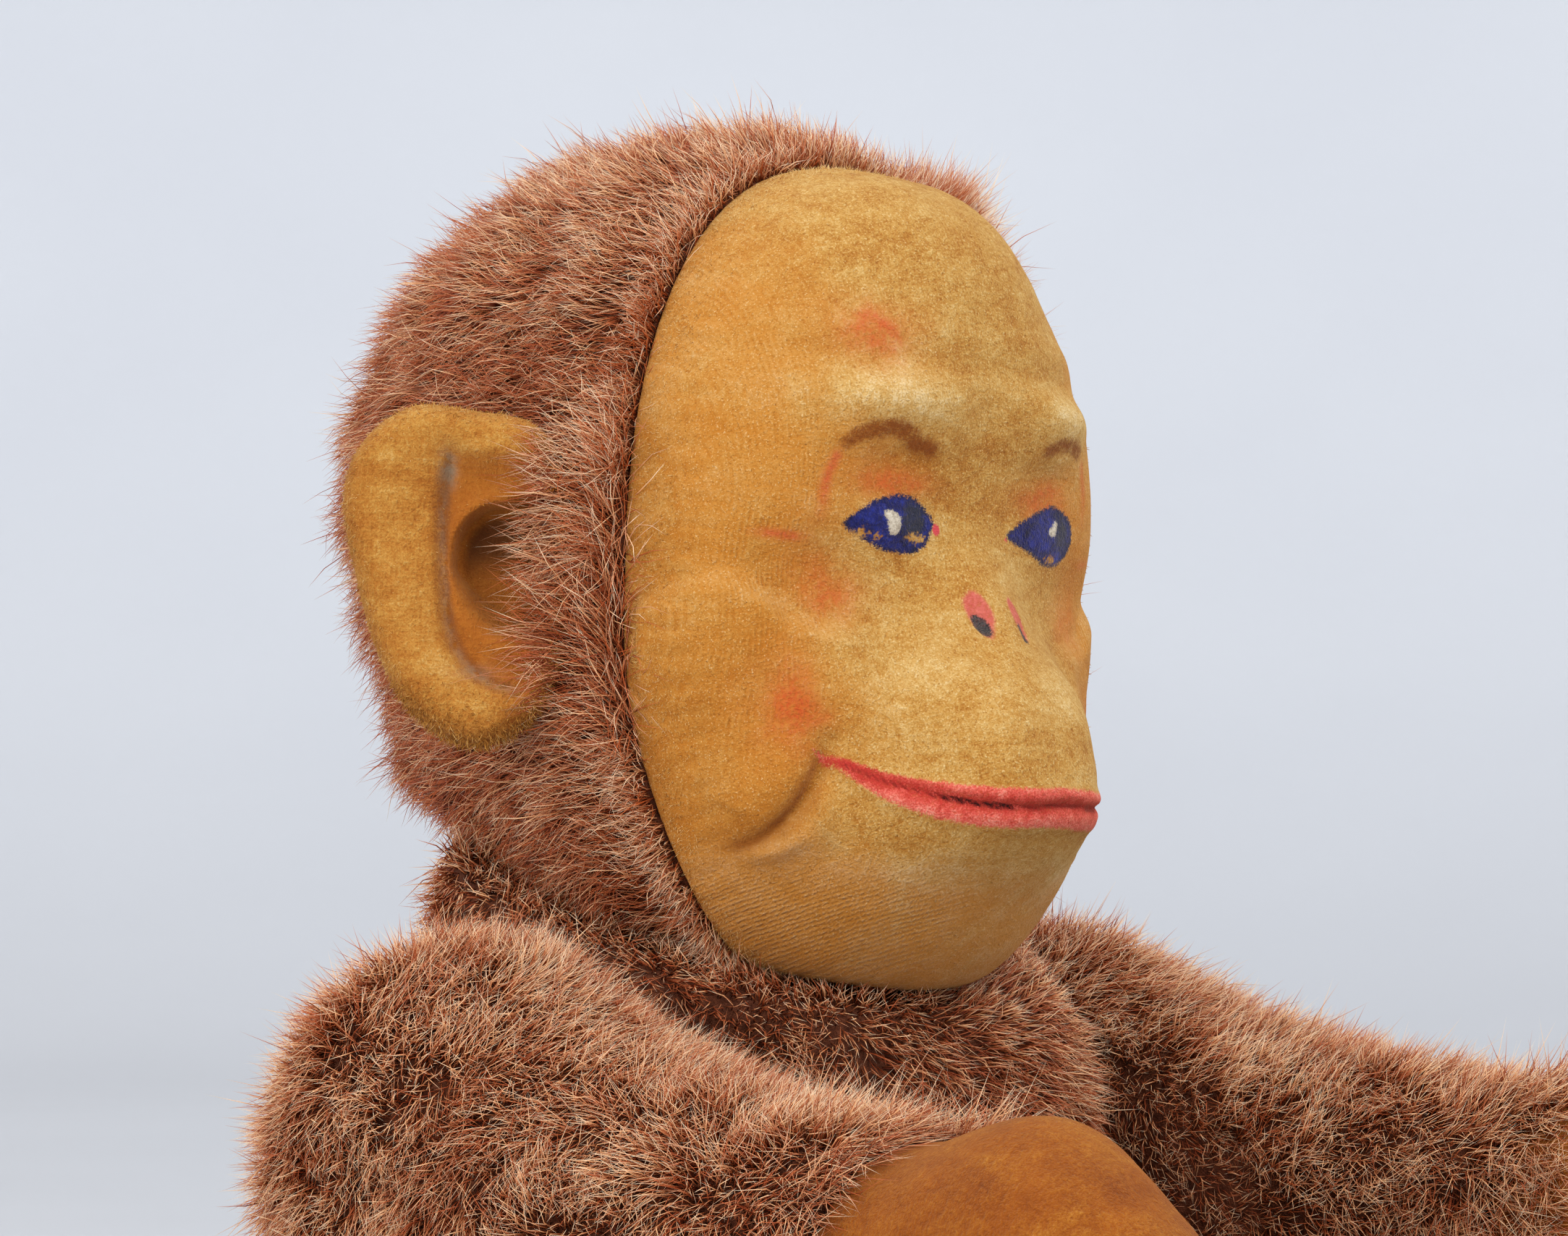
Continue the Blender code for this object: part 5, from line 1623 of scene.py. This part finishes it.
for ob in made:  # the head's own frame to the row's
    me = ob.data
    co = np.zeros(len(me.vertices) * 3, np.float32)
    me.vertices.foreach_get("co", co)
    w = head_world(co.reshape(-1, 3).astype(float) / MM) * MM
    me.vertices.foreach_set("co", w.astype(np.float32).ravel())
    me.update()

# ------------------------------------------------------------------ build: torso
grid, s_t, th_t = form_grid(TORSO, 0.0, TORSO.length, 170, 220)
grid = lumps(grid, 0.4, 16.0, 4)
grid[..., 2] = np.maximum(grid[..., 2], 0.05)
skin("mohair_torso", grid, "torso", "torso_skin")


def torso_keep(m):
    d = (NECK - m) @ NECK_N
    centre = m - NECK
    inner_r = np.linalg.norm(centre - NECK_N * ((centre @ NECK_N)[..., None]), axis=-1)
    k = np.where((d < 1.6) & (inner_r < 21), 0.0, 1.0)
    k = np.where(m[..., 2] < 0.5, 0.0, k)
    ax = np.abs(m[..., 0])
    arm = np.hypot(m[..., 1] - SHOULDER[1], m[..., 2] - SHOULDER[2])
    leg = np.hypot(m[..., 1] - HIP[1], m[..., 2] - HIP[2])
    k = np.where((ax > 31.5) & (arm < 13), 0.0, k)
    k = np.where((ax > 25.5) & (leg < 15), 0.0, k)
    seen = step01((m[..., 2] - 55) / 15.0)
    return k * (0.55 + 0.45 * seen)


p, n = scatter(grid, 3.8, torso_keep, seed=102)
comb = np.array([0.0, 0.0, -1.0]) + np.outer(np.sign(p[:, 0]) * step01((p[:, 2] - 80) / 20), [0.7, 0.0, 0.3])
length = np.full(len(p), 5.2)
length = np.where((NECK - p) @ NECK_N < 3.0, 3.6, length)
ax = np.abs(p[:, 0])
near_arm = (ax > 30) & (np.hypot(p[:, 1] - SHOULDER[1], p[:, 2] - SHOULDER[2]) < 20)
near_leg = (ax > 24) & (np.hypot(p[:, 1] - HIP[1], p[:, 2] - HIP[2]) < 22)
length = np.where(near_arm | near_leg, 3.0, length)
lean = np.where(near_arm | near_leg, 1.1, 0.82) * np.ones(len(p))
pile("pile_torso", "torso", p, n, comb, length, lean, np.random.default_rng(8), width=0.15, rings=2, low=0.1, shift=0.08)

# ------------------------------------------------------------------ build: arms and legs
arm_grid, arm_s, arm_th = form_grid(ARM, 0.0, WRIST_S - 0.45, 130, 170)
arm_grid = lumps(arm_grid, 0.3, 12.0, 5)
leg_grid, leg_s, leg_th = form_grid(LEG, 0.0, ANKLE_S - 0.45, 150, 170)
leg_grid = lumps(leg_grid, 0.35, 13.0, 6)
leg_grid[..., 2] = np.maximum(leg_grid[..., 2], 0.35)


def arm_keep(m):
    r = np.hypot(m[..., 1] - SHOULDER[1], m[..., 2] - SHOULDER[2])
    k = np.where((m[..., 0] < 35.5) & (r < 15.0), 0.0, 1.0)
    return np.where(m[..., 0] < 34.6, 0.6 * k, k)


def leg_keep(m):
    r = np.hypot(m[..., 1] - HIP[1], m[..., 2] - HIP[2])
    k = np.where((m[..., 0] < 29) & (r < 17.0), 0.0, 1.0)
    return np.where(m[..., 2] < 0.9, 0.25 * k, k)


def comb_along(form, p, extra):
    """Down the limb, away from the joint."""
    spine = np.array(form.spine)
    best = np.argmin(
        (p[:, 1, None] - spine[None, :, 1]) ** 2 + (p[:, 2, None] - spine[None, :, 2]) ** 2, axis=1
    )
    d = form.along(spine[best, 0])
    return np.stack([np.zeros(len(p)), d[:, 0], d[:, 1]], -1) + extra


cuff_grid, _, _ = form_grid(ARM, WRIST_S - 0.45, WRIST_S + 8.0, 40, 170)
cuff_y = cuff_grid[0, :, 1].mean()


def cuff_keep(m):
    """More of it the nearer it is to the body's middle and to the wrist."""
    inner = step01((ARM.middle(m[..., 1]) - 1.0 - m[..., 0]) / 5.0)
    return inner * step01((m[..., 1] - cuff_y + 8.5) / 4.0)


for side, sign in (("left", 1), ("right", -1)):
    make_hand(side, sign)
    make_foot(side, sign)
    skin(f"mohair_arm_{side}", arm_grid, f"arm_{side}", f"arm_skin_{side}", hand=sign)
    skin(f"mohair_leg_{side}", leg_grid, f"leg_{side}", f"leg_skin_{side}", hand=sign)
    turn = np.array([sign, 1.0, 1.0])
    p, n = scatter(arm_grid, 6.6, arm_keep, seed=103 if sign > 0 else 104)
    pc, nc = scatter(cuff_grid, 6.6, cuff_keep, seed=107 if sign > 0 else 108)
    p, n = np.vstack([p, pc]), np.vstack([n, nc])
    comb = comb_along(ARM, p, np.array([0.35, 0.0, -0.25]))
    cuff = step01((arm_grid[-1, :, 1].mean() + 8.0 - p[:, 1]) / 7.0)
    length = np.where(p[:, 0] < 35.5, 3.0, 5.6 + 2.2 * cuff)
    lean = np.where(p[:, 0] < 35.5, 1.1, 0.68 + 0.35 * cuff)
    pile(
        f"pile_arm_{side}", f"arm_{side}", p * turn, n * turn, comb * turn, length, lean,
        np.random.default_rng(9 if sign > 0 else 10), width=0.12, rings=2, shift=0.2,
    )
    p, n = scatter(leg_grid, 2.6, leg_keep, seed=105 if sign > 0 else 106)
    comb = comb_along(LEG, p, np.array([0.3, 0.0, -0.2]))
    length = np.where((p[:, 0] < 28.5) | (p[:, 2] < 2.0), 2.6, 5.2)
    lean = np.where((p[:, 0] < 28.5) | (p[:, 2] < 2.0), 1.2, 0.75)
    pile(
        f"pile_leg_{side}", f"leg_{side}", p * turn, n * turn, comb * turn, length, lean,
        np.random.default_rng(11 if sign > 0 else 12), width=0.17, rings=2, low=0.1, shift=0.04,
    )

# ------------------------------------------------------------------ stage
def make_floor():
    profile = [(0.0, 0.0), (1.0, 0.0), (2.2, 0.0)]
    for k in range(1, 17):
        t = k / 16 * math.pi / 2
        profile.append((2.2 + 1.4 * math.sin(t), 1.4 * (1 - math.cos(t))))
    profile.append((3.6, 2.6))
    cols = 96
    v, f = [], []
    for r, z in profile:
        for j in range(cols):
            a = 2 * math.pi * j / cols
            v.append((r * math.cos(a), r * math.sin(a), z))
    for i in range(len(profile) - 1):
        for j in range(cols):
            j2 = (j + 1) % cols
            f.append((i * cols + j, i * cols + j2, (i + 1) * cols + j2, (i + 1) * cols + j))
    me = bpy.data.meshes.new("floor")
    me.from_pydata(v, [], f)
    me.shade_smooth()
    ob = bpy.data.objects.new("floor", me)
    scene.collection.objects.link(ob)
    s = Shader("pale_floor", Roughness=0.85)
    n = s.noise(3.0, 2, 0.5)
    far = s.node("ShaderNodeVectorMath", operation="LENGTH")
    s.set(far.inputs[0], s.place())
    far = s.range(far.outputs["Value"], 2.1, 3.6)
    near = s.ramp(n, [(0.3, (0.56, 0.56, 0.565)), (0.7, (0.58, 0.58, 0.585))])
    wall = s.ramp(n, [(0.3, (0.74, 0.75, 0.77)), (0.7, (0.77, 0.78, 0.795))])
    s.finish(s.mix(far, near, wall))
    me.materials.append(s.mat)


make_floor()

# ------------------------------------------------------------------ camera and light
AZ, EL, DIST, PX = math.radians(-51.0), math.radians(-2.5), 0.570, 0.075e-3
WIDE, HIGH = 2167, 1708
toward = Vector((math.sin(AZ) * math.cos(EL), -math.cos(AZ) * math.cos(EL), math.sin(EL)))
right = Vector((math.cos(AZ), math.sin(AZ), 0.0))
up = right.cross(-toward)
head = Vector((0, 0, HEAD_Z * MM))
target = head - right * ((984 - WIDE / 2) * PX) + up * ((770 - HIGH / 2) * PX)
cam = bpy.data.cameras.new("camera")
cam.sensor_width = 36
cam.lens = 36 * DIST / (WIDE * PX)
cam.clip_start, cam.clip_end = 0.02, 20
cam_ob = bpy.data.objects.new("camera", cam)
scene.collection.objects.link(cam_ob)
cam_ob.matrix_world = Matrix.Translation(target + toward * DIST) @ Matrix((right, up, toward)).transposed().to_4x4()
scene.camera = cam_ob


def area(name, where, size, power, colour):
    l = bpy.data.lights.new(name, "AREA")
    l.shape, l.size, l.energy, l.color = "DISK", size, power, colour
    ob = bpy.data.objects.new(name, l)
    scene.collection.objects.link(ob)
    ob.location = where
    ob.rotation_euler = (head - where).to_track_quat("-Z", "Y").to_euler()


area("key", head + (right * 0.55 + up * 0.85 + toward * 0.55) * 1.0, 0.7, 7.0, (1.0, 0.98, 0.95))
area("fill", head + (right * -0.8 + up * -0.02 + toward * 0.8) * 1.1, 0.9, 12.0, (1.0, 0.98, 0.96))
world = bpy.data.worlds.new("world")
scene.world = world
world.use_nodes = True
world.node_tree.nodes["Background"].inputs[0].default_value = (0.87, 0.90, 0.96, 1)
world.node_tree.nodes["Background"].inputs[1].default_value = 1.36
